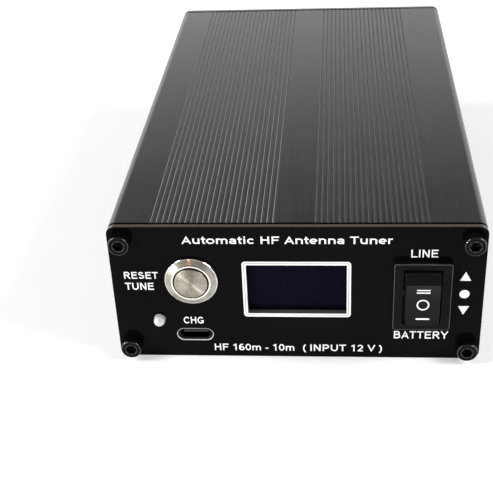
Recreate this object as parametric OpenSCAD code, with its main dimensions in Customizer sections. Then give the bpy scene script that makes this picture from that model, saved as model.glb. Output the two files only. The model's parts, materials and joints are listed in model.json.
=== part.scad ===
// Automatic antenna tuner in a split extruded-aluminium case.
// Frame: +X to the right seen from the front, +Y towards the rear, +Z up.
// Origin: middle of the case's underside. Millimetres.

/* [Case] */
// Width of the case and its panels
case_w = 97; // [95:0.5:100]
// Height of the case and its panels
case_h = 41; // [40.5:0.5:42]
// Length of the extruded shells, without the panels
shell_len = 160; // [158:1:166]
// Thickness of the top and bottom walls
wall_flat = 2; // [1.8:0.1:2.2]
// Thickness of the side walls
wall_side = 1.8; // [1.6:0.1:1.9]
// Outer corner radius of the extrusion and of the panels
corner_r = 2.2; // [1.5:0.1:2.6]
// Thickness of the front and rear panels
panel_t = 1.6; // [1.5:0.1:1.8]

/* [Grooves in the top and underside] */
// Number of grooves in the left group
groove_count_left = 22; // [10:1:24]
// Number of grooves in the right group
groove_count_right = 20; // [10:1:24]
// Distance from one groove to the next
groove_pitch = 1.5; // [1.3:0.05:1.6]
// Distance of the innermost groove from the middle
groove_start = 5.4; // [4:0.1:6]
// Width of a groove at the surface
groove_w = 0.5; // [0.3:0.05:0.7]
// Depth of a groove
groove_d = 0.2; // [0.15:0.05:0.5]

/* [Panel screws] */
// Distance of the screws from the middle, sideways
screw_x = 45; // [44.5:0.1:45.2]
// Distance of the screws from the case's top and underside
screw_margin = 4; // [3.8:0.1:4.2]
// Radius of the screw's thread
screw_r = 1.5; // [1.5:0.1:1.6]
// Radius of the socket head
screw_head_r = 2.75; // [2.6:0.05:2.8]
// Height of the socket head
screw_head_h = 3; // [2.5:0.1:3.2]
// Length of the thread behind the panel's outer face
screw_len = 10; // [8:1:12]

/* [Tune button] */
// Button centre, sideways
button_x = -27.3; // [-29:0.1:-27]
// Button centre, height
button_z = 25; // [24:0.1:26]
// Radius of the bezel ring
button_head_r = 7; // [6.8:0.1:7.2]
// How far the bezel ring stands out of the panel
button_head_h = 1.7; // [1.6:0.1:2.4]
// Radius of the threaded barrel
button_barrel_r = 6; // [5.9:0.05:6]
// Radius of the moving cap
button_cap_r = 4.45; // [4.3:0.05:4.5]
// How far the cap stands out of the ring
button_cap_proud = 0.3; // [0.3:0.1:0.8]

/* [Rocker switch] */
// Switch centre, sideways
rocker_x = 32.6; // [32:0.1:33]
// Switch centre, height
rocker_z = 21; // [20.5:0.1:21.5]
// Width of the switch's frame
rocker_frame_w = 14.8; // [14.6:0.1:15]
// Height of the switch's frame
rocker_frame_h = 20.4; // [20.2:0.1:21]
// How far the frame stands out of the panel
rocker_frame_t = 2; // [1.8:0.1:2.2]
// Width of the rocker
rocker_w = 9.3; // [9.2:0.1:10]
// How far the rocker's ends stand out of the frame
rocker_proud = 3.5; // [3:0.1:3.8]

/* [Display] */
// Window centre, sideways
window_x = 0.2; // [-0.5:0.1:0.5]
// Window centre, height
window_z = 22; // [21.5:0.1:22.5]
// Width of the window
window_w = 26; // [24:0.1:26]
// Height of the window
window_h = 15.1; // [14:0.1:16]

/* [Charging port and lamp] */
// Port centre, sideways
port_x = -27.5; // [-28:0.1:-27]
// Port centre, height
port_z = 7.3; // [7.2:0.1:8]
// Width of the port's metal shell
port_w = 8.94; // [8.9:0.01:9]
// Height of the port's metal shell
port_h = 3.26; // [3.2:0.01:3.3]
// Lamp centre, sideways
lamp_x = -36.8; // [-37.5:0.1:-36.5]
// Lamp centre, height
lamp_z = 12.3; // [12.2:0.1:13]
// Radius of the lamp's lens
lamp_r = 1.5; // [1.45:0.05:1.5]

/* [Battery] */
// Radius of a battery cell
cell_r = 9.2; // [9.1:0.05:9.25]
// Length of a battery cell
cell_len = 65; // [64:0.5:65]

/* [Rear sockets] */
// Antenna socket centre, sideways
antenna_x = -24; // [-25:0.5:-22]
// Transmitter socket centre, sideways
input_x = 10; // [9:0.5:12]
// Height of the sockets
socket_z = 20.5; // [20:0.5:21]
// Side of the square flange
flange_w = 25.4; // [25:0.1:25.6]
// Distance between the flange's screws
flange_pitch = 18.3; // [18:0.1:18.5]
// Radius of the threaded barrel
socket_r = 7.9; // [7.8:0.05:7.95]
// Length of the threaded barrel in front of the flange
socket_len = 13.4; // [12:0.1:14]
// Radius of the centre contact's hole
contact_bore_r = 2; // [1.95:0.05:2.05]
// Power jack centre, sideways
jack_x = 37; // [36:0.5:37.5]

/* [Hidden] */

round_fn = 48;
gap = 0.05;
front_y = -(shell_len / 2 + panel_t);
rear_y = shell_len / 2 + panel_t;
inside_front = -shell_len / 2;
inside_rear = shell_len / 2;
screw_low = screw_margin;
screw_high = case_h - screw_margin;
screw_bore_r = screw_r + gap;
screw_boss_r = 3.2;
screw_clearance = 0.15;
hex_r = 1.45;
hex_depth = 1.6;
play = 0.1;

// Lap joint between the two shells, halfway up the sides
lap_low = case_h / 2 - 1;
lap_high = case_h / 2 + 1;
lap_x = case_w / 2 - wall_side / 2;
seam_gap = 0.1;
seam_chamfer = 0.35;
lap_reach = 10;

// Slots that hold the main board by its long edges
board_t = 1.6;
board_z = 8.6;
board_top = board_z + board_t;
board_half_w = case_w / 2 - wall_side - 0.4;
board_front = -10;
board_rear = 76;
slot_gap = 0.1;
rib_depth = 2.1;
rib_t = 1.2;

// Button, from the panel's front face backwards
button_barrel_len = 14;
button_bore_r = button_cap_r + 0.2;
button_rim_r = 5.2;
button_shoulder = 1;
button_skirt_r = 5;
button_chamber_r = 5.2;
button_base_y = 8.3;
button_bridge_y = 6.2;
button_spring_r = 3.2;
button_spring_wire = 0.22;
button_edge = 0.8;
button_nut_r = 8.08;
button_nut_t = 2;
button_stem_r = 1.2;
button_pin_x = 1.7;
button_pin_r = 0.6;
button_pin_tail = 5;
cap_chamfer = [0.3, 0.25];
seal_r = 6.42;
seal_wire_r = 0.33;
seal_groove_r = 6.8;
seal_groove_depth = 0.7;

// Rocker switch, from its pivot: the frame's front is 3 mm in front of the pivot
pivot_y = front_y + 1;
frame_front = -rocker_frame_t - 1;
rocker_end_r = 8.05;
rocker_corner_z = 6.1;
rocker_face_sag = 1;
rocker_shoulder = [-3.2, 7.38];
rocker_lean = 0.45;
rocker_opening_h = 16.6;
rocker_opening_gap = 0.2;
rocker_back = 2;
pivot_r = 1;
switch_body_w = 12.6;
switch_body_h = 18.6;
switch_depth = 14;
switch_floor = 12;
blade_y = 8.65;
blade_t = 0.5;
terminal_pitch = 6;
cutout_gap = 0.3;
stem_r = 2.2;
stem_bore_r = 1.35;
stem_end = 5.5;
plunger_r = 1.25;
plunger_tip_y = 7.3;
blade_half_w = 2;
blade_half_h = 6.2;
spade = [2.4, 0.4];
spade_tail = 8;
clip_half_w = 3;

// Display parts, from the panel's front face backwards
glass_w = 26.7;
glass_h = 19.3;
glass_t = 1.45;
tape_t = 0.4;
display_board_w = 27.3;
display_board_h = 27.8;
display_board_t = 1.2;
display_hole = [11.75, 11.9];
window_r = 0.5;
pin_pitch = 2.54;
pin_half = 0.32;
header_z = 12.3;

// Charger board under the port
charger_top = port_z - port_h / 2 - 0.02;
charger_t = 1.2;
charger_left = -41;
charger_right = -15;
charger_rear = -57;
charger_chip_at = [-24, -68, 0];
charger_chip = [5, 5, 1.58];
charger_coil_at = [-33, -66, 0];
charger_coil = [6, 6, 2.98];
charger_part_at = [-38, -66, 0];
charger_part = [2.6, 1.6, 0.88];
port_gap = 0.6;
port_recess = 0.5;
port_wall = 0.3;
port_len = 7.4;
port_cavity = 6.6;
tongue = [6.7, 0.7];
tongue_front = 1.6;

// Lamp: a straight lens with a round tip and a flange behind the panel
lamp_straight = 0.9;
lamp_end = 4.4;
lamp_flange_r = 1.9;
lamp_leg_pitch = 2.54;
lamp_leg = 0.25;

// Battery holder
cell_z = 12.8;
cell_pitch = 19.6;
battery_y = -33;
holder_wall = 2;
holder_end_gap = 0.9;
holder_side = 1.2;
holder_rim = 2.6;
cell_tip_r = 3;

// Rear sockets, from the rear panel's outer face outwards
flange_t = 1.6;
socket_bore_r = 6.35;
insulator_r = 5.05;
insulator_front = 5.6;
contact_r = 2.9;
contact_front = flange_t + socket_len - 1;
contact_bore_len = 10;
solder_cup_r = 1.6;
solder_hole_r = 1.1;
neck_len = 5.6;
neck_r = socket_r - 0.3;
flange_corner_r = 1.5;
slit_len = 6;
slit_half = 0.15;
flange_head_r = 2.75;
flange_head_h = 1.9;
cross_half = [1.7, 0.3];
cross_depth = 0.8;
flange_nut_r = 3.17;
flange_nut_t = 2.4;
rf_lead_r = 0.8;
rf_lead_y = rear_y - 11.6;

// Power jack, from the rear panel's outer face
jack_flange_r = 5.4;
jack_flange_t = 1.6;
jack_body_r = 4;
jack_body_len = 11.5;
jack_bore_r = 2.85;
jack_bore_len = 8;
jack_pin_r = 1.05;
jack_pin_front = 0.4;
jack_tail = 15;
jack_nut_r = 6;
jack_nut_t = 2.2;

// Insulated leads
signal_lead_r = 0.6;
power_lead_r = 0.8;

// Rows of parts on the main board
relay_row_y = [32, 53];
relay_pitch = 12.2;
relay = [10.2, 15.3, 11.6];
toroid_outer = 8.75;
toroid_inner = 4.7;
toroid_w = 4.8;
toroid_lift = 10.2;
toroid_wire_r = 0.45;
coil_r = 4;
coil_half_len = 6;
coil_lift = 5.6;
coil_wire_r = 0.5;
capacitor_count = 14;
capacitor_pitch = 5.8;
capacitor_y = 42.5;
capacitor_r = 3.2;
capacitor_turn = 35;
bridge_outer = 6.35;
bridge_inner = 3.55;
bridge_lift = 7.2;
bridge_wire_r = 0.3;
chip_at = [-23, -3];
chip_half = [17.6, 3.4];
chip_row = 3.55;
electrolytic_at = [33, 6];
electrolytic_pitch = 9;
electrolytic_r = 3.15;
electrolytic_h = 11;
regulator_at = [41.5, 11];
header_x = [2, 15, 27, 38];
header_y = -6;
header_h = 6.5;
toroid_x = [-39, -29, -19, -9];
coil_x = [3, 13, 23];
toroid_y = 12;
bridge_x = [-9, 2];
bridge_y = 68.2;

// ---------------------------------------------------------------- helpers

// Extrudes an outline drawn in X and Z along Y
module along_y(from, to)
    translate([0, to, 0])
        rotate([90, 0, 0])
            linear_extrude(height = to - from)
                children();

// Extrudes an outline drawn in Y and Z along X
module along_x(from, to)
    translate([from, 0, 0])
        rotate([90, 0, 90])
            linear_extrude(height = to - from)
                children();

// A round bar along Y
module bar_y(r, from, to, fn = round_fn)
    translate([0, from, 0])
        rotate([-90, 0, 0])
            cylinder(r = r, h = to - from, $fn = fn);

// A round bar along X
module bar_x(r, from, to, fn = round_fn)
    translate([from, 0, 0])
        rotate([0, 90, 0])
            cylinder(r = r, h = to - from, $fn = fn);

// A box given by its low corner and its high corner
module box(low, high)
    translate(low)
        cube(high - low);

// A rectangle with round corners, centred on its own middle
module round_rect(w, h, r) {
    square([w - 2 * r, h], center = true);
    square([w, h - 2 * r], center = true);
    for (x = [-1, 1], y = [-1, 1])
        translate([x * (w / 2 - r), y * (h / 2 - r)])
            circle(r = r, $fn = round_fn);
}

// A slot with fully round ends
module stadium(w, h) {
    square([w - h, h], center = true);
    for (x = [-1, 1])
        translate([x * (w - h) / 2, 0])
            circle(r = h / 2, $fn = round_fn);
}

// Places something at the four panel screws
module at_screws()
    for (x = [-screw_x, screw_x], z = [screw_low, screw_high])
        translate([x, z])
            children();

// Unit vector along v
function unit(v) = v / norm(v);

// Direction of a route at its point i
function heading(path, i) =
    unit(path[min(i + 1, len(path) - 1)] - path[max(i - 1, 0)]);

// A reference that no lead runs along
lead_side = function (p) [1, 0.35, 0.15];

// The axis of a coil that is wound about Y
coil_side = function (p) [0, 1, 0];

// The way round a ring core whose axis is X
ring_side = function (p) [0, -p[2], p[1]];

// A tube of one radius swept along a route; side gives a direction across the route
module sweep(path, r, sides = 6, side = lead_side) {
    rings = len(path);
    points = [for (i = [0:rings - 1])
        let (dir = heading(path, i), a = unit(cross(dir, side(path[i]))), b = cross(dir, a))
            for (k = [0:sides - 1])
                path[i] + r * (cos(360 * k / sides) * a + sin(360 * k / sides) * b)];
    walls = [for (i = [0:rings - 2], k = [0:sides - 1])
        let (a = i * sides + k, b = i * sides + (k + 1) % sides)
            each [[a, b, b + sides], [a, b + sides, a + sides]]];
    caps = [[for (k = [sides - 1:-1:0]) k],
        [for (k = [0:sides - 1]) (rings - 1) * sides + k]];
    polyhedron(points = points, faces = concat(walls, caps), convexity = 6);
}

// Points of a helix around the Y axis
function helix(r, from, to, turns, per_turn) =
    [for (i = [0:turns * per_turn])
        let (a = 360 * i / per_turn)
            [r * cos(a), from + (to - from) * i / (turns * per_turn), r * sin(a)]];

// Points of a wire wound on a ring core whose axis is X: four corners a turn
function ring_winding(inner, outer, half_w, turns, span) =
    [for (i = [0:turns * 4])
        let (a = (360 - span) / 2 + span * i / (turns * 4) - 90, k = i % 4,
            r = (k == 0 || k == 3) ? inner : outer, x = k < 2 ? -half_w : half_w)
            [x, r * cos(a), r * sin(a)]];

// ---------------------------------------------------------------- case

// The case's outline
module case_outline()
    translate([0, case_h / 2])
        round_rect(case_w, case_h, corner_r);

// The hollow inside the case
module case_hollow()
    translate([0, case_h / 2])
        square([case_w - 2 * wall_side, case_h - 2 * wall_flat], center = true);

// One V groove cut into a surface that faces up
module groove()
    polygon([[-groove_w / 2, 0.1], [groove_w / 2, 0.1], [groove_w / 2, 0], [0, -groove_d],
        [-groove_w / 2, 0]]);

// The two groups of grooves
module groove_groups()
    for (side = [-1, 1])
        for (i = [0:(side < 0 ? groove_count_left : groove_count_right) - 1])
            translate([side * (groove_start + i * groove_pitch), 0])
                groove();

// A screw channel in a corner
module screw_bosses(z)
    for (x = [-screw_x, screw_x])
        translate([x, z])
            circle(r = screw_boss_r, $fn = round_fn);

// The channels' holes
module screw_bores(z)
    for (x = [-screw_x, screw_x])
        translate([x, z])
            circle(r = screw_bore_r, $fn = round_fn);

// Ribs above and below the board's edges
module board_ribs() {
    inner_x = case_w / 2 - wall_side;
    for (side = [-1, 1])
        for (z = [board_z - slot_gap - rib_t, board_top + slot_gap])
            translate([side > 0 ? inner_x - rib_depth : -inner_x - 0.3, z])
                square([rib_depth + 0.3, rib_t]);
}

// Chamfers along the visible seam on the two sides
module seam_cut(z)
    for (side = [-1, 1])
        translate([side * case_w / 2, z])
            rotate(45)
                square(seam_chamfer * sqrt(2), center = true);

module lower_outline()
    difference() {
        union() {
            difference() {
                case_outline();
                case_hollow();
            }
            intersection() {
                case_outline();
                screw_bosses(screw_low);
            }
            board_ribs();
        }
        translate([0, lap_high + case_h / 2])
            square([case_w + 2, case_h], center = true);
        for (side = [-1, 1])
            translate([side * (lap_x + wall_side / 2), lap_low + lap_reach / 2])
                square([wall_side, lap_reach], center = true);
        screw_bores(screw_low);
        seam_cut(lap_low);
        mirror([0, 1])
            groove_groups();
    }

module upper_outline()
    difference() {
        union() {
            difference() {
                case_outline();
                case_hollow();
            }
            intersection() {
                case_outline();
                screw_bosses(screw_high);
            }
        }
        translate([0, lap_low + seam_gap - case_h / 2])
            square([case_w + 2, case_h], center = true);
        translate([0, lap_high + seam_gap - lap_reach / 2])
            square([2 * (lap_x + seam_gap), lap_reach], center = true);
        screw_bores(screw_high);
        seam_cut(lap_low + seam_gap);
        translate([0, case_h])
            groove_groups();
    }

module lower_shell()
    color("#2b2d30")
        along_y(inside_front, inside_rear)
            lower_outline();

module upper_shell()
    color("#36393d")
        along_y(inside_front, inside_rear)
            upper_outline();

// ---------------------------------------------------------------- panels

module front_outline()
    difference() {
        case_outline();
        at_screws()
            circle(r = screw_r + screw_clearance, $fn = round_fn);
        translate([button_x, button_z])
            circle(r = button_barrel_r + gap, $fn = round_fn);
        translate([rocker_x, rocker_z])
            square([switch_body_w + cutout_gap, switch_body_h + cutout_gap], center = true);
        translate([window_x, window_z])
            round_rect(window_w, window_h, window_r);
        translate([port_x, port_z])
            stadium(port_w + port_gap, port_h + port_gap);
        translate([lamp_x, lamp_z])
            circle(r = lamp_r + gap, $fn = round_fn);
    }

module flange_holes(r)
    for (x = [-1, 1], z = [-1, 1])
        translate([x * flange_pitch / 2, z * flange_pitch / 2])
            circle(r = r, $fn = round_fn);

module rear_outline()
    difference() {
        case_outline();
        at_screws()
            circle(r = screw_r + screw_clearance, $fn = round_fn);
        for (x = [antenna_x, input_x])
            translate([x, socket_z]) {
                circle(r = socket_r - play, $fn = round_fn);
                flange_holes(screw_r + play);
            }
        translate([jack_x, socket_z])
            circle(r = jack_body_r + gap, $fn = round_fn);
    }

module front_panel()
    color("#101113")
        along_y(front_y, inside_front)
            front_outline();

module rear_panel()
    color("#101113")
        along_y(inside_rear, rear_y)
            rear_outline();

// A socket-head screw that points along +Y, its head's underside at 0
module socket_screw() {
    difference() {
        bar_y(screw_head_r, -screw_head_h, 0);
        bar_y(hex_r, -screw_head_h - play, -screw_head_h + hex_depth, 6);
    }
    bar_y(screw_r, -0.01, screw_len);
}

module front_screws()
    color("#17181a")
        for (x = [-screw_x, screw_x], z = [screw_low, screw_high])
            translate([x, front_y, z])
                socket_screw();

module rear_screws()
    color("#17181a")
        for (x = [-screw_x, screw_x], z = [screw_low, screw_high])
            translate([x, rear_y, z])
                mirror([0, 1, 0])
                    socket_screw();

// ---------------------------------------------------------------- tune button

// Moves to the button's axis, with Y counted from the panel's front face
module at_button()
    translate([button_x, front_y, button_z])
        children();

// Turned parts are drawn as radius against distance along Y
module turned_y()
    rotate([-90, 0, 0])
        rotate_extrude($fn = 64)
            children();

module button_housing()
    color("#b9b7b2")
        at_button()
            turned_y()
                polygon([[button_bore_r, -button_head_h], [button_rim_r, -button_head_h],
                    [button_head_r, -button_edge], [button_head_r, 0], [seal_groove_r, 0],
                    [seal_groove_r, -seal_groove_depth],
                    [button_barrel_r + gap, -seal_groove_depth], [button_barrel_r, 0],
                    [button_barrel_r, button_barrel_len],
                    [button_chamber_r, button_barrel_len], [button_chamber_r, button_shoulder],
                    [button_bore_r, button_shoulder]]);

module button_seal()
    color("#1b1b1c")
        at_button()
            turned_y()
                translate([seal_r, -seal_wire_r - 0.01])
                    circle(r = seal_wire_r, $fn = 24);

module button_nut()
    color("#a9aaac")
        at_button()
            difference() {
                bar_y(button_nut_r, panel_t, panel_t + button_nut_t, 6);
                bar_y(button_barrel_r + 0.03, panel_t - play, panel_t + button_nut_t + play);
            }

module button_cap()
    color("#c9c4b8")
        at_button()
            turned_y()
                polygon([[0, -button_head_h - button_cap_proud],
                    [button_cap_r - cap_chamfer[0], -button_head_h - button_cap_proud],
                    [button_cap_r, -button_head_h - button_cap_proud + cap_chamfer[1]],
                    [button_cap_r, button_shoulder + play], [button_skirt_r, button_shoulder + play],
                    [button_skirt_r, button_shoulder + 1.1], [button_stem_r, button_shoulder + 1.1],
                    [button_stem_r, button_bridge_y], [0, button_bridge_y]]);

module button_bridge()
    color("#c7a24a")
        at_button()
            bar_y(2.4, button_bridge_y + 0.02, button_bridge_y + 0.5);

module button_spring()
    color("#8d9196")
        at_button()
            sweep(helix(button_spring_r, button_shoulder + 1.4, button_base_y - 0.3, 6, 12),
                button_spring_wire, 6, coil_side);

module button_base()
    color("#232426")
        at_button()
            difference() {
                union() {
                    bar_y(button_chamber_r - gap, button_base_y, button_barrel_len);
                    bar_y(button_barrel_r - 0.2, button_barrel_len + 0.02, button_barrel_len + 1.5);
                    bar_y(button_chamber_r - gap, button_barrel_len - play, button_barrel_len + play);
                }
                for (x = [-button_pin_x, button_pin_x])
                    translate([x, 0, 0])
                        bar_y(button_pin_r + gap, button_base_y - play, button_barrel_len + 1.6);
            }

module button_pins()
    color("#c9b27a")
        at_button()
            for (x = [-button_pin_x, button_pin_x])
                translate([x, 0, 0])
                    bar_y(button_pin_r, button_base_y - 0.25, button_barrel_len + button_pin_tail);

// ---------------------------------------------------------------- rocker switch

// Moves to the rocker's pivot
module at_pivot()
    translate([rocker_x, pivot_y, rocker_z])
        children();

// Side view of the rocker: round ends about the pivot and a hollow face
module rocker_side() {
    corner_y = frame_front - rocker_proud;
    face_r = (pow(rocker_corner_z, 2) + pow(rocker_face_sag, 2)) / (2 * rocker_face_sag);
    difference() {
        union() {
            intersection() {
                circle(r = rocker_end_r, $fn = 96);
                translate([rocker_shoulder[0], -rocker_frame_h / 2])
                    square([rocker_back - rocker_shoulder[0], rocker_frame_h]);
            }
            polygon([[corner_y, rocker_corner_z], rocker_shoulder, rocker_shoulder + [play, 0],
                [rocker_shoulder[0] + play, -rocker_shoulder[1]],
                [rocker_shoulder[0], -rocker_shoulder[1]], [corner_y, -rocker_corner_z]]);
        }
        translate([corner_y + rocker_face_sag - face_r, 0])
            circle(r = face_r, $fn = 128);
    }
}

// Plan view of the rocker: its sides lean in towards the face
module rocker_plan() {
    w = rocker_w / 2;
    polygon([[-w + rocker_lean, frame_front - rocker_proud - play],
        [w - rocker_lean, frame_front - rocker_proud - play],
        [w, frame_front + 0.3], [w, rocker_back + play], [-w, rocker_back + play],
        [-w, frame_front + 0.3]]);
}

module rocker_paddle()
    color("#1a1b1d")
        at_pivot()
            difference() {
                union() {
                    intersection() {
                        along_x(-rocker_w / 2, rocker_w / 2)
                            rocker_side();
                        translate([0, 0, -rocker_frame_h / 2])
                            linear_extrude(height = rocker_frame_h)
                                rocker_plan();
                    }
                    bar_y(stem_r, rocker_back - play, stem_end);
                }
                bar_y(stem_bore_r, 1.7, stem_end + play);
                bar_x(pivot_r + gap, -rocker_w, rocker_w);
            }

module rocker_pivot()
    color("#8f9397")
        at_pivot()
            bar_x(pivot_r, -switch_body_w / 2 + play, switch_body_w / 2 - play);

module rocker_spring()
    color("#8f9397")
        at_pivot()
            sweep(helix(0.95, 2, 4, 4, 10), 0.15, 5, coil_side);

module rocker_plunger()
    color("#d9d6cc")
        at_pivot() {
            bar_y(plunger_r, 4.25, plunger_tip_y);
            translate([0, plunger_tip_y, 0])
                sphere(r = plunger_r, $fn = 32);
        }

module rocker_blade()
    color("#c7a24a")
        at_pivot()
            box([-blade_half_w, blade_y, -blade_half_h],
                [blade_half_w, blade_y + blade_t, blade_half_h]);

// One spade terminal, its root in the switch's floor
module spade_terminal()
    box([-spade[0], switch_floor - 0.8, -spade[1]],
        [spade[0], switch_depth + spade_tail, spade[1]]);

// The switch's fixed contacts, each one piece with its spade terminal
module rocker_terminals()
    color("#c9b27a")
        at_pivot() {
            for (side = [-1, 1])
                translate([0, 0, side * terminal_pitch]) {
                    spade_terminal();
                    translate([0, 0, -side * 0.7])
                        bar_y(1, blade_y + blade_t + 0.85, switch_floor - 0.3, 24);
                }
            spade_terminal();
            along_x(-1.6, 1.6)
                polygon([[blade_y + blade_t + gap, 0], [switch_floor - 0.7, 0.9],
                    [switch_floor - 0.7, -0.9]]);
        }

module rocker_housing()
    color("#141516")
        at_pivot()
            difference() {
                union() {
                    along_y(frame_front, -1.02)
                        round_rect(rocker_frame_w, rocker_frame_h, 0.6);
                    along_y(-1.1, switch_depth)
                        square([switch_body_w, switch_body_h], center = true);
                    for (side = [-1, 1])
                        along_x(-clip_half_w, clip_half_w)
                            scale([1, side])
                                polygon([[panel_t - 0.8, switch_body_h / 2 - play],
                                    [panel_t - 0.8, switch_body_h / 2 + 0.7],
                                    [panel_t + 3.4, switch_body_h / 2],
                                    [panel_t + 3.4, switch_body_h / 2 - play]]);
                }
                along_y(frame_front - play, switch_floor)
                    square([rocker_w + 2 * rocker_opening_gap, rocker_opening_h], center = true);
                bar_x(pivot_r + 0.03, -switch_body_w, switch_body_w);
                for (z = [-terminal_pitch, 0, terminal_pitch])
                    translate([0, 0, z])
                        box([-spade[0] - gap, switch_floor - play, -spade[1] - gap],
                            [spade[0] + gap, switch_depth + play, spade[1] + gap]);
            }

// ---------------------------------------------------------------- display

// Moves to the window's middle, with Y counted from the panel's inner face
module at_window()
    translate([window_x, inside_front, window_z])
        children();

module display_tape()
    color("#202124")
        at_window()
            along_y(0.01, tape_t)
                difference() {
                    square([glass_w, glass_h], center = true);
                    square([window_w + 0.1, window_h + 0.1], center = true);
                }

module display_glass()
    color("#12131d")
        at_window()
            along_y(tape_t + 0.01, tape_t + glass_t)
                square([glass_w, glass_h], center = true);

module display_board()
    color("#1c3f6e")
        at_window()
            along_y(tape_t + glass_t + 0.02, tape_t + glass_t + display_board_t)
                translate([0, 0.4])
                    difference() {
                        square([display_board_w, display_board_h], center = true);
                        for (x = [-1, 1], z = [-1, 1])
                            translate([x * display_hole[0], z * display_hole[1]])
                                circle(r = 1, $fn = 24);
                    }

module display_header()
    color("#222324")
        at_window()
            for (i = [0:3])
                translate([(i - 1.5) * pin_pitch, tape_t + glass_t + display_board_t, header_z]) {
                    box([-1.25, 0.02, -1.25], [1.25, 2.5, 1.25]);
                    box([-pin_half, 2.4, -pin_half], [pin_half, 8.3, pin_half]);
                }

// ---------------------------------------------------------------- charging port

module charge_lamp()
    color("#e8eaec")
        translate([lamp_x, front_y, lamp_z]) {
            bar_y(lamp_r, -lamp_straight, lamp_end);
            translate([0, -lamp_straight, 0])
                sphere(r = lamp_r, $fn = 32);
            bar_y(lamp_flange_r, lamp_end - 1, lamp_end);
        }

// Two bent legs from the lamp down to the charger board
module lamp_leads()
    color("#b9bcc0")
        translate([lamp_x, front_y, 0])
            for (side = [-1, 1])
                translate([side * lamp_leg_pitch / 2, 0, 0]) {
                    box([-lamp_leg, lamp_end + 0.02, lamp_z - lamp_leg],
                        [lamp_leg, 7, lamp_z + lamp_leg]);
                    box([-lamp_leg, 7 - 2 * lamp_leg, charger_top + 0.02], [lamp_leg, 7, lamp_z]);
                }

module port_shell()
    color("#b7babd")
        translate([port_x, 0, port_z])
            difference() {
                along_y(front_y + port_recess, front_y + port_len)
                    stadium(port_w, port_h);
                along_y(front_y - play, front_y + port_cavity)
                    stadium(port_w - 2 * port_wall, port_h - 2 * port_wall);
            }

module port_tongue()
    color("#191a1b")
        translate([port_x, 0, port_z])
            along_y(front_y + tongue_front, front_y + port_cavity - gap)
                square(tongue, center = true);

module charger_board()
    color("#1f4d33")
        box([charger_left, inside_front + 0.2, charger_top - charger_t],
            [charger_right, charger_rear, charger_top]);

module charger_parts()
    color("#2c2d2f")
        for (part = [[charger_chip_at, charger_chip], [charger_coil_at, charger_coil],
            [charger_part_at, charger_part], [charger_part_at + [0, 4, 0], charger_part]])
            translate([0, 0, charger_top + 0.02])
                box(part[0], part[0] + part[1]);

module charger_pad()
    color("#3a3b3d")
        box([charger_left + 2, inside_front + 3, wall_flat + 0.02],
            [charger_right - 2, charger_rear - 2, charger_top - charger_t - 0.02]);

// ---------------------------------------------------------------- battery

module at_cells()
    for (side = [-1, 1])
        translate([0, battery_y + side * cell_pitch / 2, cell_z])
            children();

module battery_holder() {
    bay = cell_len / 2 + holder_end_gap;
    color("#1d1e20")
        difference() {
            box([-bay - holder_wall, battery_y - cell_pitch / 2 - cell_r - holder_side,
                wall_flat + gap], [bay + holder_wall,
                battery_y + cell_pitch / 2 + cell_r + holder_side, cell_z + holder_rim]);
            at_cells()
                bar_x(cell_r + 0.2, -bay, bay, 64);
        }
}

module battery_cells()
    color("#3a7d74")
        for (side = [-1, 1])
            translate([0, battery_y + side * cell_pitch / 2, cell_z]) {
                bar_x(cell_r, -cell_len / 2 + 0.5, cell_len / 2 - 0.5, 64);
                translate([side * (cell_len / 2 - 0.6), 0, 0])
                    bar_x(cell_tip_r, -0.6, 0.6, 32);
            }

module battery_contacts()
    color("#c4c7ca")
        at_cells()
            for (side = [-1, 1])
                translate([side * (cell_len / 2 + 0.5), 0, 0])
                    box([-0.3, -5, -6], [0.3, 5, 5]);

// ---------------------------------------------------------------- main board

module main_board()
    color("#1f5137")
        box([-board_half_w, board_front, board_z], [board_half_w, board_rear, board_top]);

module relays()
    color("#20262b")
        for (y = relay_row_y, i = [-3:3])
            translate([i * relay_pitch, y, board_top + 0.02])
                box([-relay[0] / 2, -relay[1] / 2, 0], [relay[0] / 2, relay[1] / 2, relay[2]]);

// A ring core whose axis is X
module ring_core(outer, inner, w)
    difference() {
        bar_x(outer, -w / 2, w / 2, 64);
        bar_x(inner, -w, w, 64);
    }

module toroid_cores()
    color("#9c2b22")
        for (x = toroid_x)
            translate([x, toroid_y, board_top + toroid_lift])
                ring_core(toroid_outer, toroid_inner, toroid_w);

module toroid_windings()
    color("#b5622c")
        for (x = toroid_x)
            translate([x, toroid_y, board_top + toroid_lift])
                sweep(ring_winding(toroid_inner - 0.65, toroid_outer + 0.65, toroid_w / 2 + 0.65, 16, 300),
                    toroid_wire_r, 5, ring_side);

module air_coils()
    color("#b5622c")
        for (x = coil_x)
            translate([x, toroid_y, board_top + coil_lift])
                sweep(helix(coil_r, -coil_half_len, coil_half_len, 6, 12), coil_wire_r, 6, coil_side);

module capacitors()
    color("#b98a3a")
        for (i = [0:capacitor_count - 1])
            translate([(i - (capacitor_count - 1) / 2) * capacitor_pitch, capacitor_y,
                board_top + capacitor_r + 1])
                rotate([0, 0, capacitor_turn]) {
                    bar_y(capacitor_r, -1, 1, 32);
                    for (x = [-capacitor_r / 2, capacitor_r / 2])
                        translate([x, 0, 0])
                            box([-0.25, -0.25, -capacitor_r - 0.95], [0.25, 0.25, 0]);
                }

module bridge_cores()
    color("#34363a")
        for (x = bridge_x)
            translate([x, bridge_y, board_top + bridge_lift])
                ring_core(bridge_outer, bridge_inner, toroid_w);

module bridge_windings()
    color("#b5622c")
        for (x = bridge_x)
            translate([x, bridge_y, board_top + bridge_lift])
                sweep(ring_winding(bridge_inner - 0.5, bridge_outer + 0.5, toroid_w / 2 + 0.45, 10, 280),
                    bridge_wire_r, 4, ring_side);

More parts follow.
